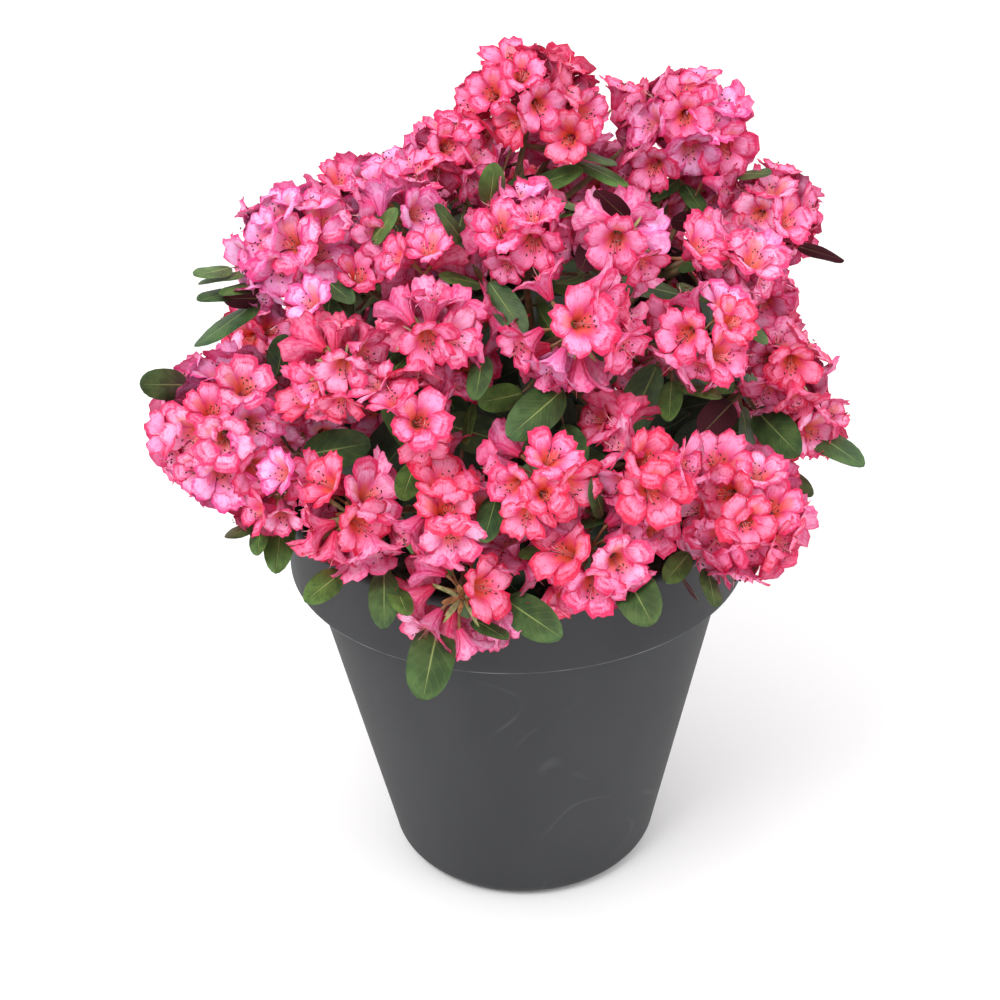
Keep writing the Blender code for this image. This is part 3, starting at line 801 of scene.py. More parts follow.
# %% Aimed leaves
leaves = []
for name, rows in SHOWN_LEAVES.items():
    head = next(head for head in heads if head.name == name)
    leaves += [shown_leaf(head, *row) for row in rows]
shown_count = len(leaves)
shown = [leaf for leaf in leaves[:shown_count] if leaf.shown_width > 8]
shown_spots = np.array([leaf.root + leaf.turn[:, 0] * leaf.length * share
                        for leaf in shown for share in SHOWN_SHARES])
shown_rooms = np.array([7 * MM + leaf.shown_width * 0.32 * MM for leaf in shown for share in SHOWN_SHARES])
shown_rays = unit(shown_spots - eye)
shown_distances = np.linalg.norm(shown_spots - eye, axis=1)
print("aimed leaves:", shown_count, "guarded:", len(shown))


def hides_leaf(point):
    """True for a point where a flower or a leaf would cut or hide the outer part of an aimed leaf."""
    distance = ((point - eye) * shown_rays).sum(-1)
    off = np.linalg.norm(eye + shown_rays * distance[:, None] - point, axis=1)
    return bool(((distance < shown_distances + 12 * MM) & (off < shown_rooms)).any())


def seen(points):
    """True if the camera sees one of these points past the heads, on the front of the shrub."""
    rays = unit(points - eye)
    far = ((points - eye) * rays).sum(-1)
    along = rays @ (centres - eye).T
    off = np.linalg.norm(eye + rays[:, None] * along[..., None] - centres, axis=-1)
    hidden = ((along < far[:, None]) & (off < reaches * 0.9)).any(axis=1)
    return bool((~hidden & (points[:, 1] < FRONT_HALF)).any())


# %% [markdown]
# The rest go round each shoot by the rule: a whorl of young leaves under the flowers, and older
# ones further in. A head that has aimed leaves gets so many fewer young ones.


# %% Whorls
def whorl(head, count, drops, old=False):
    """Leaves in golden-angle steps down the shoot of a head, each in the first pose that is free."""
    frame_turn = facing(head.axis, HEAD_HINT)
    spin = dice.uniform(0, math.tau)
    for i in range(count):
        drop = drops[0] + (drops[1] - drops[0]) * i / count
        length = dice.uniform(*LEAF_LENGTHS)
        for droop in DROOPS:
            bearing = spin + i * GOLDEN + dice.normal(0, 0.12)
            tilt = math.radians(droop + dice.normal(0, 4))
            across = frame_turn @ np.array([math.cos(bearing), math.sin(bearing), 0])
            along = across * math.cos(tilt) - head.axis * math.sin(tilt)
            normal = head.axis * math.cos(tilt) + across * math.sin(tilt)
            leaf = Leaf(head.centre + head.inward * drop, along, normal, length)
            leaf.old = old
            if leaf_fits(leaf, head):
                hides = any(hides_leaf(probe) for probe in leaf.probes)
                if not hides and (old or not seen(leaf.probes[1:4]) or dice.random() < SEEN_CHANCE):
                    leaves.append(leaf)
                break


for head in heads:
    aimed = len(SHOWN_LEAVES.get(head.name, ()))
    small = "small" in head.name
    whorl(head, 0 if small else max(WHORL_LEAVES - aimed, 1), WHORL_DROPS)
    whorl(head, 1 if small else OLDER_LEAVES, OLDER_DROPS, old=True)
print("leaves:", len(leaves), "aimed:", shown_count)

# %% [markdown]
# The blades of one green are joined into one piece, and a short stalk curves from the shoot into
# each of them. Every leaf draws one of the templates, so neighbours differ.

# %% Leaves on the shrub
leaf_bundles = {name: Bundle(name) for name in LEAF_FINISHES}
petioles = Bundle("leaf_stalks")
for order, leaf in enumerate(leaves):
    blade = leaf_kinds[int(dice.integers(LEAF_KINDS))]
    name = "leaves_fresh" if dice.random() < (0.4 if order < shown_count else 0.3) else "leaves_deep"
    # The older leaves deep inside take the darkest green, which is painted shade.
    name = "leaves_shade_dark" if leaf.old else name
    along = leaf.turn[:, 0]
    start = leaf.root + along * leaf.length * PETIOLE
    leaf_bundles[name].add(blade, leaf.turn[None], start[None], [leaf.length * (1 - PETIOLE)])
    stalk = sweep(leaf.shoot, unit(start - leaf.shoot), start + along * 3 * MM, along, 5)
    petioles.add(tube(stalk, np.array([1.9, 1.5, 1.4, 1.5, 0.9]) * MM, 6))
for name, bundle in leaf_bundles.items():
    bundle.piece(LEAF_FINISHES[name], "leaf", mapped=True)
petioles.piece(shoot_bark, "young_bark")

# %% [markdown]
# ## A corolla
# One flower is a funnel of five lobes that overlap at their edges like a folding fan, with
# wavy, slightly notched margins. It could be sculpted, but a formula makes as many different
# ones as are wanted: a lobe is a sheet with a place across it, from -1 to 1, and a place along
# it, from the tube to the margin. It has an inner and an outer face that meet at the margin, so
# it is thin but closed.

# %% Corolla templates
LOBES = 5
LOBE_ACROSS = 11
LOBE_ALONG = 5
MOUTH = 27 * MM
TUBE = 2.6 * MM
DEPTH = 25 * MM
NOTCH = 0.34
THICKNESS = 0.35 * MM
COROLLA_KINDS = 9
NARROW_KINDS = 4
OPEN_FLARES = (0.9, 1.08)
NARROW_FLARES = (0.66, 0.84)


def smooth(low, high, value):
    share = np.clip((value - low) / (high - low), 0, 1)
    return share * share * (3 - 2 * share)


def lobe(flare, column):
    """One lobe of a corolla, its middle line over +X. Flare opens or closes the funnel."""
    across = np.linspace(-1, 1, LOBE_ACROSS)
    along = 1 - (1 - np.linspace(0, 1, LOBE_ALONG)) ** 1.3
    t, s = np.meshgrid(across, along)
    scallop = 0.028 * (1 + np.cos(4.6 * math.pi * t + dice.uniform(0, math.tau))) * s ** 4
    scallop += dice.uniform(0, 0.05, LOBE_ACROSS) * s ** 6
    reach = s * (1 - NOTCH * np.abs(t) ** 2.8 - 0.04 * np.exp(-(t / 0.2) ** 2) * s ** 6 - scallop)
    phases = dice.uniform(0, math.tau, 2)
    ripple = np.sin(2.4 * math.pi * t + phases[0]) + 0.8 * np.sin(4.2 * math.pi * t + phases[1])
    frill = dice.uniform(0.5, 1.25) * MM * smooth(0.45, 1, reach)
    opening = smooth(0.3, 0.8, reach)
    angle = t * math.radians(180 / LOBES) * (1 + 0.24 * opening)
    own = flare * dice.uniform(0.93, 1.09)
    radius = TUBE + (MOUTH * own - TUBE) * (0.42 * reach + 0.58 * reach ** 1.9) + ripple * frill * 0.4
    curl = dice.uniform(0.0, 5.0) * MM
    height = DEPTH * (1.25 - 0.25 * own) * (1 - (1 - reach) ** 2.0) - curl * reach ** 3.4
    height += ripple * frill - 3.0 * MM * t ** 2 * opening + 1.2 * MM * t * opening
    inner = np.stack([radius * np.cos(angle), radius * np.sin(angle), height], -1)
    normal = unit(np.cross(np.gradient(inner, axis=1), np.gradient(inner, axis=0)))
    rim = np.maximum(np.abs(t) ** 8, s ** 8)
    outer = inner + normal * (THICKNESS * (1 - rim))[..., None]
    return two_faced(inner, outer, t, s, column)


def corolla(flare):
    """Five lobes round +Z. The one over +X is the upper lobe, in the freckled tile column 0."""
    lobes = [lobe(flare * 0.94, 0)]
    for order in range(1, LOBES):
        column = 1 + int(dice.integers(TILE_COLUMNS - 1))
        lobes.append(lobe(flare, column).turned(360 / LOBES * order + dice.uniform(-5, 5)))
    return lobes[0].joined(*lobes[1:])


open_corollas = [corolla(flare) for flare in np.linspace(*OPEN_FLARES, COROLLA_KINDS)]
narrow_corollas = [corolla(flare) for flare in np.linspace(*NARROW_FLARES, NARROW_KINDS)]
print("corolla triangles:", len(open_corollas[0].corners))

# %% [markdown]
# ## Petal finish
# The face of a lobe is pale pink, with a peach throat and a margin of deep pink that looks as
# if it had been dipped. Fine veins fan out along it and the upper lobe has dark freckles. The
# back takes the same colours, with stronger stripes and a deep tone towards the tube, partly its
# own colour and partly painted shade of the crevices. All of it is worked out from a place across
# and along the lobe, so every flower of a colour can share one small map.


# %% Petals
def petals(name, pale, middle, margin, throat):
    finish = Finish(name, Roughness=0.55, Specular_IOR_Level=0.15)
    uv, across, along, column, row = finish.tiles(TILE_COLUMNS, TILE_ROWS)
    upper = (0.5 - column).above(0.0)
    cloud = finish.grain(18, 2, uv)
    streaks = finish.grain(1, 3, uv, stretch=(95, 9, 1))
    edge = along ** 4 + across.size() ** 4 * along ** 1.5 * 0.7
    flush = (cloud - 0.5) * 1.3 + (streaks - 0.5) * 0.5 + upper * 0.3 + (column - 2) * 0.13
    dipped = (edge + flush).rise(0.05, 0.85)
    face = finish.blend((along - across.size() * 0.3).rise(0.2, 0.6), middle, pale)
    face = finish.blend(dipped * 0.92, face, margin)
    face = finish.blend((edge + (cloud - 0.5) * 0.4).rise(0.85, 1.05) * 0.55, face, RED_EDGE)
    face = finish.blend((1 - along + (streaks - 0.5) * 0.5).rise(0.45, 0.85), face, throat)
    veins = (streaks.rise(0.5, 0.7) * along.rise(0.1, 0.35) * 0.42).clamped()
    face = finish.blend(veins, face, margin)
    sockets = {"Vector": uv, "Scale": 58.0, "Randomness": 0.9}
    spots = finish.node("ShaderNodeTexVoronoi", {"feature": "F1"}, sockets)
    zone = (0.62 - across.size()).rise(0, 0.2) * along.rise(0.22, 0.32) * (0.72 - along).rise(0, 0.14) * upper
    face = finish.blend(zone * 0.5, face, throat)
    face = finish.blend((0.22 - spots).rise(0, 0.08) * zone, face, FRECKLE)
    lines = ((across * 2.5).size() * 3.6).sine().size()
    back = finish.blend((cloud - across.size() * 0.35).rise(0.1, 0.6), middle, pale)
    back = finish.blend((0.3 - lines).rise(0, 0.3) * 0.45 + veins * 0.6, back, margin)
    back = finish.blend(edge.rise(0.45, 1.0) * 0.6, back, margin)
    # Deeper crimson towards the tube on the back: partly the flower's own colour, partly painted shade of the
    # crevices.
    back = finish.blend((1 - along).rise(0.5, 0.95) * 0.8, back, margin)
    finish.wear(finish.blend(row, back, face), None, streaks, 0.0003)
    return finish.material


RED_EDGE = paint(214, 12, 62)
FRECKLE = paint(112, 22, 26)
PETAL_COLOURS = {
    "rose": ((248, 158, 204), (238, 86, 148), (214, 12, 84), (250, 132, 114)),
    "pink": ((248, 152, 198), (236, 76, 140), (212, 10, 76), (250, 126, 104)),
    "coral": ((247, 146, 184), (234, 68, 124), (212, 8, 60), (249, 120, 90)),
    "blush": ((251, 180, 218), (241, 108, 166), (218, 24, 94), (251, 142, 116)),
    "lilac": ((250, 184, 230), (242, 122, 190), (222, 44, 124), (249, 142, 134)),
}
TINTS = {}
for tint_name, colours in PETAL_COLOURS.items():
    TINTS[f"petals_{tint_name}"] = petals(f"petals_{tint_name}", *(paint(*colour) for colour in colours))
print("petal finishes:", list(TINTS))

# %% [markdown]
# ## Where the flowers stand
# The flowers of a head open over a dome. A spiral of golden angles spreads them evenly, as the
# plant itself does; a random scatter would leave holes. Some heads have opened further: their
# middles are bare, new shoots come up there, and their flowers lean outwards and down. A flower
# that would lie in the space of another head, hide an aimed leaf or stand in the open notch
# between the two top heads is left out. Single flowers then fill the grooves between the heads,
# and a last few stand deep in the crown, where the view would go through a gap to the far side.

# %% Flower places
HEAD_CAP = math.radians(108)
FLOWER_SPACING = 32.5 * MM
SHARED_SPACE = 350 * MM ** 2
LEAST_GAP = 17 * MM
GROOVE_REACH = 1.4
GROOVE_LIFTS = (0.62, 0.05)
GROOVE_GAP = 24 * MM
GROOVE_LEAF_GAP = 26 * MM
OPEN_MIDDLE = math.radians(31)
OPEN_HEADS = {"front_left.0", "upper_left.1", "upper_left.0", "centre.1", "side_right.0", "front_left.2",
              "centre_right.0", "rear_right.0", "rear_middle_left.1"}
NOTCH_PLACES = ((611, 80), (607, 100), (606, 120))
NOTCH_ROOM = 21 * MM
NOTCH_RAYS = np.array([sight(*place) for place in NOTCH_PLACES])
DEEP_FLOWERS = ((280, 441, -60), (300, 431, -75), (277, 491, -90), (366, 405, -100), (464, 370, -130),
                (463, 388, -110), (627, 384, -120), (640, 366, -110), (757, 400, -60), (745, 440, -80))
UPWARD = np.array([0, 0, 0.6])


class Flower:
    """Where a corolla stands: its base, its turn (Z out of its mouth), size, head and kind."""

    def __init__(self, head, spot, turn, size, narrow):
        self.head = head
        self.spot = spot
        self.turn = turn
        self.size = size
        self.narrow = narrow
        self.mouth = spot + turn[:, 2] * DEPTH * size


def own_space(head, point):
    """True for a point that lies about as near to a head as to any other."""
    nearest = min(other.weight(point) for other in heads if other is not head)
    return nearest - head.weight(point) > -SHARED_SPACE


def crowded(point, least):
    """True for a point that lies nearer than that to the mouth of an earlier flower."""
    mouths = [flower.mouth for flower in flowers]
    return bool(mouths) and np.linalg.norm(np.array(mouths) - point, axis=1).min() < least


def in_notch(head, point):
    """True for a rear mouth that the camera would see in the open notch between the top heads."""
    off = np.linalg.norm(np.cross(point - eye, NOTCH_RAYS), axis=1)
    return head.mass.startswith("rear") and bool((off < NOTCH_ROOM).any())


print("heads with a bare middle:", len(OPEN_HEADS))

# %% [markdown]
# Each head gets its dome of flowers in golden-angle steps, then every pair of near heads is tried
# for a flower in the groove between them, and the deep flowers come last.


# %% Flowers
def bloom(head, mouth, way, size, narrow=False):
    """Adds a flower of a head, with the middle of its mouth at a point and looking one way."""
    flowers.append(Flower(head, mouth - way * DEPTH * size, facing(way, head.axis + UPWARD), size, narrow))


def dome(head):
    """The flowers of one head."""
    opened = head.name in OPEN_HEADS
    size = float(np.clip(0.64 + head.radius / (160 * MM), 0.86, 1.0))
    level = math.sqrt(max(head.radius ** 2 - (MOUTH * size) ** 2, (12 * MM) ** 2))
    first = 1 - math.cos(OPEN_MIDDLE) if opened else 0.0
    last = 1 - math.cos(HEAD_CAP + (0.25 if opened else 0.0))
    count = round(math.tau * (last - first) * level ** 2 / (FLOWER_SPACING * size) ** 2)
    spin = dice.uniform(0, math.tau)
    frame_turn = facing(head.axis, HEAD_HINT)
    for i in range(count):
        tilt = math.acos(1 - first - (last - first) * (i + 0.5) / count)
        swing = spin + i * GOLDEN
        round_axis = (math.sin(tilt) * math.cos(swing), math.sin(tilt) * math.sin(swing), math.cos(tilt))
        out = frame_turn @ np.array(round_axis)
        own = size * dice.uniform(0.86, 1.08)
        lean = 0.4 if opened else 0.1
        way = unit(out + np.array([0, 0, -lean * math.sin(tilt)]) + dice.normal(0, 0.2, 3))
        centre = head.centre + out * level * dice.uniform(0.88, 1.02)
        if not own_space(head, centre) or crowded(centre, LEAST_GAP):
            continue
        if hides_leaf(centre) or in_notch(head, centre):
            continue
        narrow = dice.random() < (0.25 if opened else 0.08)
        bloom(head, centre, way, own, narrow)


def bridge(first, second, lift):
    """A flower in the groove between two heads that stand close, where there is room for one."""
    span = second.centre - first.centre
    if np.linalg.norm(span) > GROOVE_REACH * (first.radius + second.radius):
        return
    way = unit(first.axis + second.axis + dice.normal(0, 0.15, 3))
    centre = first.centre + span * first.radius / (first.radius + second.radius)
    centre = centre + way * lift * min(first.radius, second.radius)
    if crowded(centre, GROOVE_GAP) or (np.linalg.norm(centres - centre, axis=1) < reaches * 0.75).any():
        return
    if np.linalg.norm(aimed_probes - centre, axis=1).min() < GROOVE_LEAF_GAP or hides_leaf(centre):
        return
    if in_notch(first, centre) or in_notch(second, centre):
        return
    bloom(first, centre, way, dice.uniform(0.86, 1.0))


def deep_flower(x, y, depth):
    """A flower deep in the crown, at a place of the view. Depth is its Y, less than 0 in front."""
    ray = sight(x, y)
    mouth = eye + ray * (depth - eye[1]) / ray[1]
    way = unit(unit(mouth - CROWN_HEART) - ray * 0.7)
    head = min(heads, key=lambda head: np.linalg.norm(head.centre - mouth))
    bloom(head, mouth, way, 1.0)


aimed_probes = np.concatenate([leaf.probes for leaf in leaves[:shown_count]])
flowers = []
for head in heads:
    dome(head)
own_count = len(flowers)
for lift in GROOVE_LIFTS:
    for order, head in enumerate(heads):
        for other in heads[order + 1:]:
            bridge(head, other, lift)
for x, y, depth in DEEP_FLOWERS:
    deep_flower(x, y, depth * MM)
print("flowers:", len(flowers), "between heads:", len(flowers) - own_count - len(DEEP_FLOWERS))

# %% [markdown]
# ## Tints by head
# The flowers of such a plant open in a deep tone and fade, so no two heads look alike. Each
# flower draws its tint from the few that its head allows. One finish with a random hue would be
# shorter, but a piece of one tint keeps its colour wherever the part is used.

# %% Corollas on the shrub
HEAD_TINTS = {
    "shoulder_left.0": ("petals_lilac", "petals_lilac", "petals_lilac", "petals_blush"),
    "side_left.0": ("petals_blush", "petals_blush", "petals_lilac", "petals_pink"),
    "crown_top.0": ("petals_rose", "petals_coral", "petals_pink"),
}
HIGH_TINTS = ("petals_rose", "petals_rose", "petals_rose", "petals_lilac", "petals_pink")
LOW_TINTS = ("petals_coral", "petals_pink", "petals_blush")
HIGH_LEVEL = 590 * MM


def stances(members):
    """Turns, spots and sizes of flowers, as a bundle takes them."""
    turns = np.array([flower.turn for flower in members])
    spots = np.array([flower.spot for flower in members])
    return turns, spots, [flower.size for flower in members]


bundles = {name: Bundle(name) for name in TINTS}
batches = {}
for flower in flowers:
    high = flower.head.centre[2] + dice.normal(0, 30 * MM) > HIGH_LEVEL
    choices = HEAD_TINTS.get(flower.head.name, HIGH_TINTS if high else LOW_TINTS)
    tint = str(dice.choice(choices))
    kinds = narrow_corollas if flower.narrow else open_corollas
    batches.setdefault((tint, flower.narrow, int(dice.integers(len(kinds)))), []).append(flower)
for (tint, narrow, kind), members in batches.items():
    shape = (narrow_corollas if narrow else open_corollas)[kind]
    bundles[tint].add(shape, *stances(members))
for name, bundle in bundles.items():
    bundle.piece(TINTS[name], "blossom", mapped=True)

# %% [markdown]
# ## Stamens
# In the real flower about ten pale filaments curve out of the throat and end in dark brown
# anthers, which read as dots from a step away. Seven are made here, with a longer style among
# them. Hair curves could stand for them, but thin tubes ride along with the part.

# %% Stamens
STAMENS = 7
STAMEN_KINDS = 5
stamen_finish = mottled("filaments", (180, 2), (250, 196, 190), (240, 168, 172), Roughness=0.5)
anther_finish = mottled("anthers", (500, 2), (62, 26, 20), (104, 58, 38), Roughness=0.6)


def stamen_shapes():
    """The filaments of one flower in its own frame, upper side over +X, and its anthers."""
    threads, tips = [], []
    for i in range(STAMENS):
        swing = math.tau * i / STAMENS + dice.uniform(-0.3, 0.3)
        spread = dice.uniform(2.5, 6.5) * MM
        reach = dice.uniform(17, 26) * MM
        foot = np.array([math.cos(swing) * 1.2, math.sin(swing) * 1.2, 2.0]) * MM
        tip = np.array([math.cos(swing) * spread - 2.5 * MM, math.sin(swing) * spread, reach])
        arrive = unit(np.array([math.cos(swing) * 0.5 + 0.35, math.sin(swing) * 0.5, 0.8]))
        line = sweep(foot, np.array([-0.25, 0, 0.97]), tip, arrive, 4)
        threads.append(tube(line, np.full(4, 0.27 * MM), 3))
        way = unit(np.array([math.cos(swing + 1.2), math.sin(swing + 1.2), 0.5]))
        ends = np.stack([tip - way * 1.2 * MM, tip, tip + way * 1.2 * MM])
        tips.append(tube(ends, np.array([0.4, 0.75, 0.1]) * MM, 4))
    foot, tip = np.array([0, 0, 2]) * MM, np.array([-3, 0.5, 31]) * MM
    style = sweep(foot, np.array([-0.3, 0, 0.95]), tip, np.array([0.5, 0, 0.85]), 6)
    threads.append(tube(style, np.full(6, 0.35 * MM), 3))
    return threads[0].joined(*threads[1:]), tips[0].joined(*tips[1:])


filaments, anthers = Bundle("filaments"), Bundle("anthers")
stamen_kinds = [stamen_shapes() for kind in range(STAMEN_KINDS)]
for kind, (threads, tips) in enumerate(stamen_kinds):
    members = flowers[kind::STAMEN_KINDS]
    filaments.add(threads, *stances(members))
    anthers.add(tips, *stances(members))
filaments.piece(stamen_finish, "blossom")
anthers.piece(anther_finish, "blossom")

# %% [markdown]
# ## Flower stalks
# Each flower hangs on a reddish stalk that leaves the tip of its shoot and widens into the base
# of the funnel. A tube along a bowed line gives both the bend and the widening.

# %% Flower stalks
stalk_finish = mottled("flower_stalks", (140, 2), (150, 72, 58), (134, 124, 70), Roughness=0.55)
stalks = Bundle("flower_stalks")
for flower in flowers:
    way = flower.turn[:, 2]
    end = flower.spot + way * 3 * MM
    start = flower.head.centre + flower.head.inward * dice.uniform(0, 8) * MM
    line = sweep(start, unit(unit(end - start) + flower.head.axis * 0.6), end, way, 7)
    radii = np.array([1.3, 1.1, 1.0, 1.0, 1.1, 1.6, 3.0]) * MM
    stalks.add(tube(line, radii, 5))
stalks.piece(stalk_finish, "young_bark")

# %% [markdown]
# ## New shoots
# In the middle of the heads that have opened, next year's shoots come up: a tuft of narrow,
# felted olive leaves out of tawny bud scales. Both are the leaf template again, drawn slim.

# %% Shoot finish and tufts
felt_finish = mottled("new_leaves", (230, 3), (112, 116, 64), (168, 164, 112), (0.3, 0.7), 0.0004,
                      Roughness=0.9, Sheen_Weight=0.3)
scale_finish = mottled("bud_scales", (200, 3), (132, 84, 48), (184, 132, 84), (0.3, 0.7), 0.0004,
                       Roughness=0.8)
TUFT_LEAVES = 12
SLIM_WIDTHS = (0.32, 0.8)
SCALELESS_HEAD = "centre.1"

new_leaves, bud_scales = Bundle("new_leaves"), Bundle("bud_scales")
slim_kinds = [Shape(leaf_kinds[0].points * np.array([1, width, 1]), leaf_kinds[0].corners)
              for width in SLIM_WIDTHS]
for head in heads:
    if head.name not in OPEN_HEADS:
        continue
    frame_turn = facing(head.axis, HEAD_HINT)
    lift = head.centre + head.axis * 8 * MM
    for i in range(TUFT_LEAVES):
        bearing = i * GOLDEN
        spread = math.radians(8 + 5 * i)
        across = frame_turn @ np.array([math.cos(bearing), math.sin(bearing), 0])
        along = unit(head.axis * math.cos(spread) + across * math.sin(spread))
        normal = unit(head.axis * math.sin(spread) - across * math.cos(spread))
        bract = i % 2 == 0 and head.name != SCALELESS_HEAD
        length = dice.uniform(*((9, 17) if bract else (14, 27))) * MM
        turn = np.stack([along, np.cross(normal, along), normal], -1)
        bundle = bud_scales if bract else new_leaves
        bundle.add(slim_kinds[bract], turn[None], (lift + across * 2 * MM)[None], [length])
new_leaves.piece(felt_finish, "leaf")
bud_scales.piece(scale_finish, "young_bark")

# %% [markdown]
# ## The foliage solids
# Every plain solid of a mass is now stood for by finer pieces, so the solids are hidden.

# %% Masses replaced
for mass in masses:
    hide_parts(f"mass_{mass}")
print("masses replaced:", len(masses))

# %% [markdown]
# ## Compost
# The planter is filled with bark compost to a little below its rim. A disc moved by noise gives
# the lumps, and a scatter of small chips lies on it. A Displace modifier would move the disc as
# well, but heights worked out in Python are in the mesh itself, with no modifier to apply.

# %% Compost
compost_finish = Finish("compost", Roughness=0.95)
lumps = compost_finish.grain(90, 6)
crumbs = compost_finish.grain(520, 3)
soil = compost_finish.blend(lumps.rise(0.35, 0.7), paint(34, 24, 18), paint(74, 56, 42))
flecked = compost_finish.blend(crumbs.rise(0.6, 0.75) * 0.5, soil, paint(112, 90, 68))
compost_finish.wear(flecked, None, lumps + crumbs * 0.4, 0.003)

COMPOST_RADIUS = RIM_RADIUS - 12 * MM
spokes, rings = 110, 46
turns, steps = np.meshgrid(np.linspace(0, math.tau, spokes + 1), np.linspace(0, 1, rings) ** 0.8)
east, north = steps * COMPOST_RADIUS * np.cos(turns), steps * COMPOST_RADIUS * np.sin(turns)
heights = np.array([[noise.fractal(Vector((x * 26, y * 26, 0.4)), 0.8, 2.0, 5) for x, y in zip(*row)]
                    for row in zip(east, north)])
mound = np.exp(-(steps * COMPOST_RADIUS / (45 * MM)) ** 2)
surface = COMPOST_LEVEL - 2 * MM + heights * 4 * MM + mound * 5 * MM
soil_bed = Bundle("compost_bed")
bed_points = np.stack([east, north, surface], -1).reshape(-1, 3)
soil_bed.add(Shape(bed_points, grid_corners(rings, spokes + 1, flip=True)))
chip_line = np.array([[-0.5, 0, 0], [-0.3, 0, 0.02], [0.35, 0, 0.02], [0.5, 0, 0]])
chip = tube(chip_line, [0.08, 0.24, 0.2, 0.05], 5)
CHIPS = 700
chip_reach = COMPOST_RADIUS * 0.97 * np.sqrt(dice.random(CHIPS))
chip_swing = dice.uniform(0, math.tau, CHIPS)
chip_level = np.full(CHIPS, COMPOST_LEVEL + 0.5 * MM)
chip_spots = np.stack([chip_reach * np.cos(chip_swing), chip_reach * np.sin(chip_swing), chip_level], -1)
chip_ways = dice.normal(0, 0.3, (CHIPS, 3)) + np.array([0, 0, 1])
chip_turns = facing(chip_ways, dice.normal(0, 1, (CHIPS, 3)))
soil_bed.add(chip, chip_turns, chip_spots, dice.uniform(4, 12, CHIPS) * MM)
soil_bed.piece(compost_finish.material, "compost", ["compost"])

# %% [markdown]
# ## The planter
# The planter is a tapering tub of matt anthracite plastic with a deep, slightly wider rim band.
# A lathe profile is the natural way to make it; here the profile is swept with numpy, so that
# the lip, the lower edge of the band and the foot can be rounded with arcs.

# %% Planter
RIM_FOOT = 302 * MM
RIM_WALL = 9 * MM
BODY_TOP = 183.5 * MM
BODY_FOOT = 119.5 * MM
FOOT_ROUNDING = 20 * MM
LIP = 4.3 * MM
POT_SIDES = 160


def arc(x, z, radius, first, last, count=7):
    angles = np.radians(np.linspace(first, last, count))
    return np.stack([x + radius * np.cos(angles), z + radius * np.sin(angles)], 1)


def straight(start, end, count):
    share = np.linspace(0, 1, count)[1:-1, None]
    return np.array(start) + (np.array(end) - np.array(start)) * share


edge = 1.6 * MM
inside = np.array([[RIM_RADIUS - RIM_WALL, COMPOST_LEVEL - 14 * MM]])
lip_in = arc(RIM_RADIUS - RIM_WALL + LIP, RIM_TOP - LIP, LIP, 180, 90)
lip_out = arc(RIM_RADIUS - LIP, RIM_TOP - LIP, LIP, 90, 0)
band_foot = arc(RIM_RADIUS - edge, RIM_FOOT + edge, edge, 0, -90)
tuck = np.array([[BODY_TOP + 1.5 * MM, RIM_FOOT], [BODY_TOP, RIM_FOOT - 1.5 * MM]])
foot = arc(BODY_FOOT - FOOT_ROUNDING * 0.8, FOOT_ROUNDING, FOOT_ROUNDING, -8, -90, 12)
base = np.array([[BODY_FOOT * 0.55, 0.0], [BODY_FOOT * 0.5, 3 * MM], [0.0, 3 * MM]])
profile = np.concatenate([inside, lip_in, lip_out, straight(lip_out[-1], band_foot[0], 8), band_foot, tuck,
                          straight(tuck[-1], foot[0], 26), foot, base])
spin = np.linspace(0, math.tau, POT_SIDES + 1)
levels = np.repeat(profile[:, 1:], POT_SIDES + 1, 1)
wall = np.stack([profile[:, :1] * np.cos(spin), profile[:, :1] * np.sin(spin), levels], -1)

plastic = Finish("planter_plastic", Specular_IOR_Level=0.22)
place = plastic.node("ShaderNodeTexCoord", output=3)
split = plastic.node("ShaderNodeSeparateXYZ", {}, {0: place})
height = Wire(plastic, split.socket.node.outputs[2])
speckle = plastic.grain(900, 2)
smoke = plastic.grain(9, 4, stretch=(1, 1, 0.5))
arcs = ((plastic.grain(5, 1) * 90).sine() * 0.5 + 0.5).rise(0.93, 1.0) * plastic.grain(8, 3).rise(0.56, 0.68)
tone = plastic.blend(smoke.rise(0.3, 0.7), paint(51, 52, 54), paint(56, 57, 59))
tone = plastic.blend(arcs * 0.35, tone, paint(84, 84, 86))
tone = plastic.blend(speckle.rise(0.55, 0.8) * 0.22, tone, paint(74, 74, 76))
# A thin, broken lighter line along the rounded lower edge of the band is a painted highlight.
painted_edge_highlight = (0.0013 - (height - RIM_FOOT - 0.0006).size()).rise(0, 0.0009) * plastic.grain(26, 4).rise(0.3, 0.7)
tone = plastic.blend(painted_edge_highlight * 0.7, tone, paint(132, 132, 134))
plastic.wear(tone, 0.58 + speckle * 0.12 - smoke * 0.08, speckle * 0.5 + arcs * 0.4, 0.0002)
planter = Bundle("planter")
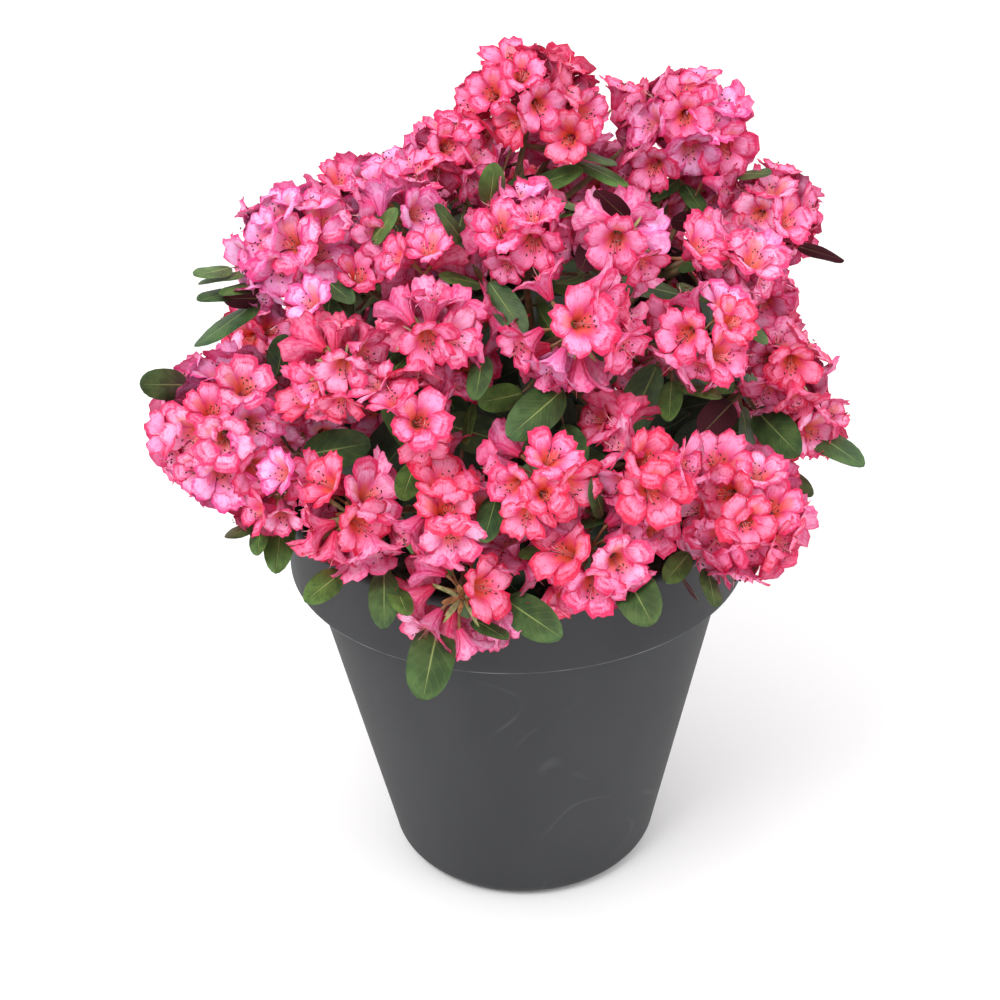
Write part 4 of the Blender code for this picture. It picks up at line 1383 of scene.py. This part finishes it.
planter.add(Shape(wall.reshape(-1, 3), grid_corners(len(profile), POT_SIDES + 1, flip=True)))
planter.piece(plastic.material, "planter", ["pot"])

# %% [markdown]
# ## Floor and light
# A white floor under a white sky, brighter overhead than at the horizon, gives the soft, nearly
# shadowless look of a studio cut-out. A large soft lamp from the upper left front gives the petals
# their modelling, and a weaker one fills from the right.

# %% Stage
floor_finish = mottled("floor", (3, 2), (250, 250, 250), (252, 252, 252), Roughness=0.9)
bpy.ops.mesh.primitive_grid_add(x_subdivisions=4, y_subdivisions=4, size=40, location=(0, 0, -0.0005))
floor = bpy.context.object
floor.name = "floor"
floor.data.materials.append(floor_finish)

world = bpy.data.worlds.new("studio")
world.use_nodes = True
sky = world.node_tree
direction = sky.nodes.new("ShaderNodeSeparateXYZ")
sky.links.new(sky.nodes.new("ShaderNodeTexCoord").outputs["Generated"], direction.inputs[0])
climb = sky.nodes.new("ShaderNodeMapRange")
for socket, value in {"From Min": -0.1, "From Max": 1.0, "To Min": 0.62, "To Max": 1.32}.items():
    climb.inputs[socket].default_value = value
sky.links.new(direction.outputs["Z"], climb.inputs["Value"])
sky.nodes["Background"].inputs["Color"].default_value = (1, 1, 1, 1)
sky.links.new(climb.outputs["Result"], sky.nodes["Background"].inputs["Strength"])
bpy.context.scene.world = world


def softbox(name, spot, power, width):
    lamp = bpy.data.lights.new(name, "AREA")
    lamp.energy = power
    lamp.shape = "DISK"
    lamp.size = width
    made = bpy.data.objects.new(name, lamp)
    made.location = spot
    made.rotation_euler = (Vector((0, 0, 0.4)) - Vector(spot)).to_track_quat("-Z", "Y").to_euler()
    bpy.context.scene.collection.objects.link(made)


softbox("key_lamp", (-1.3, -2.0, 3.2), 66, 1.4)
softbox("fill_lamp", (2.2, -1.4, 1.8), 14, 1.8)
bpy.context.scene.view_settings.view_transform = "Standard"
bpy.context.scene.view_settings.look = "None"
print("lamps:", [light.name for light in bpy.data.lights])

# %% [markdown]
# ## Size
# The finer model has to keep the size of the solids.
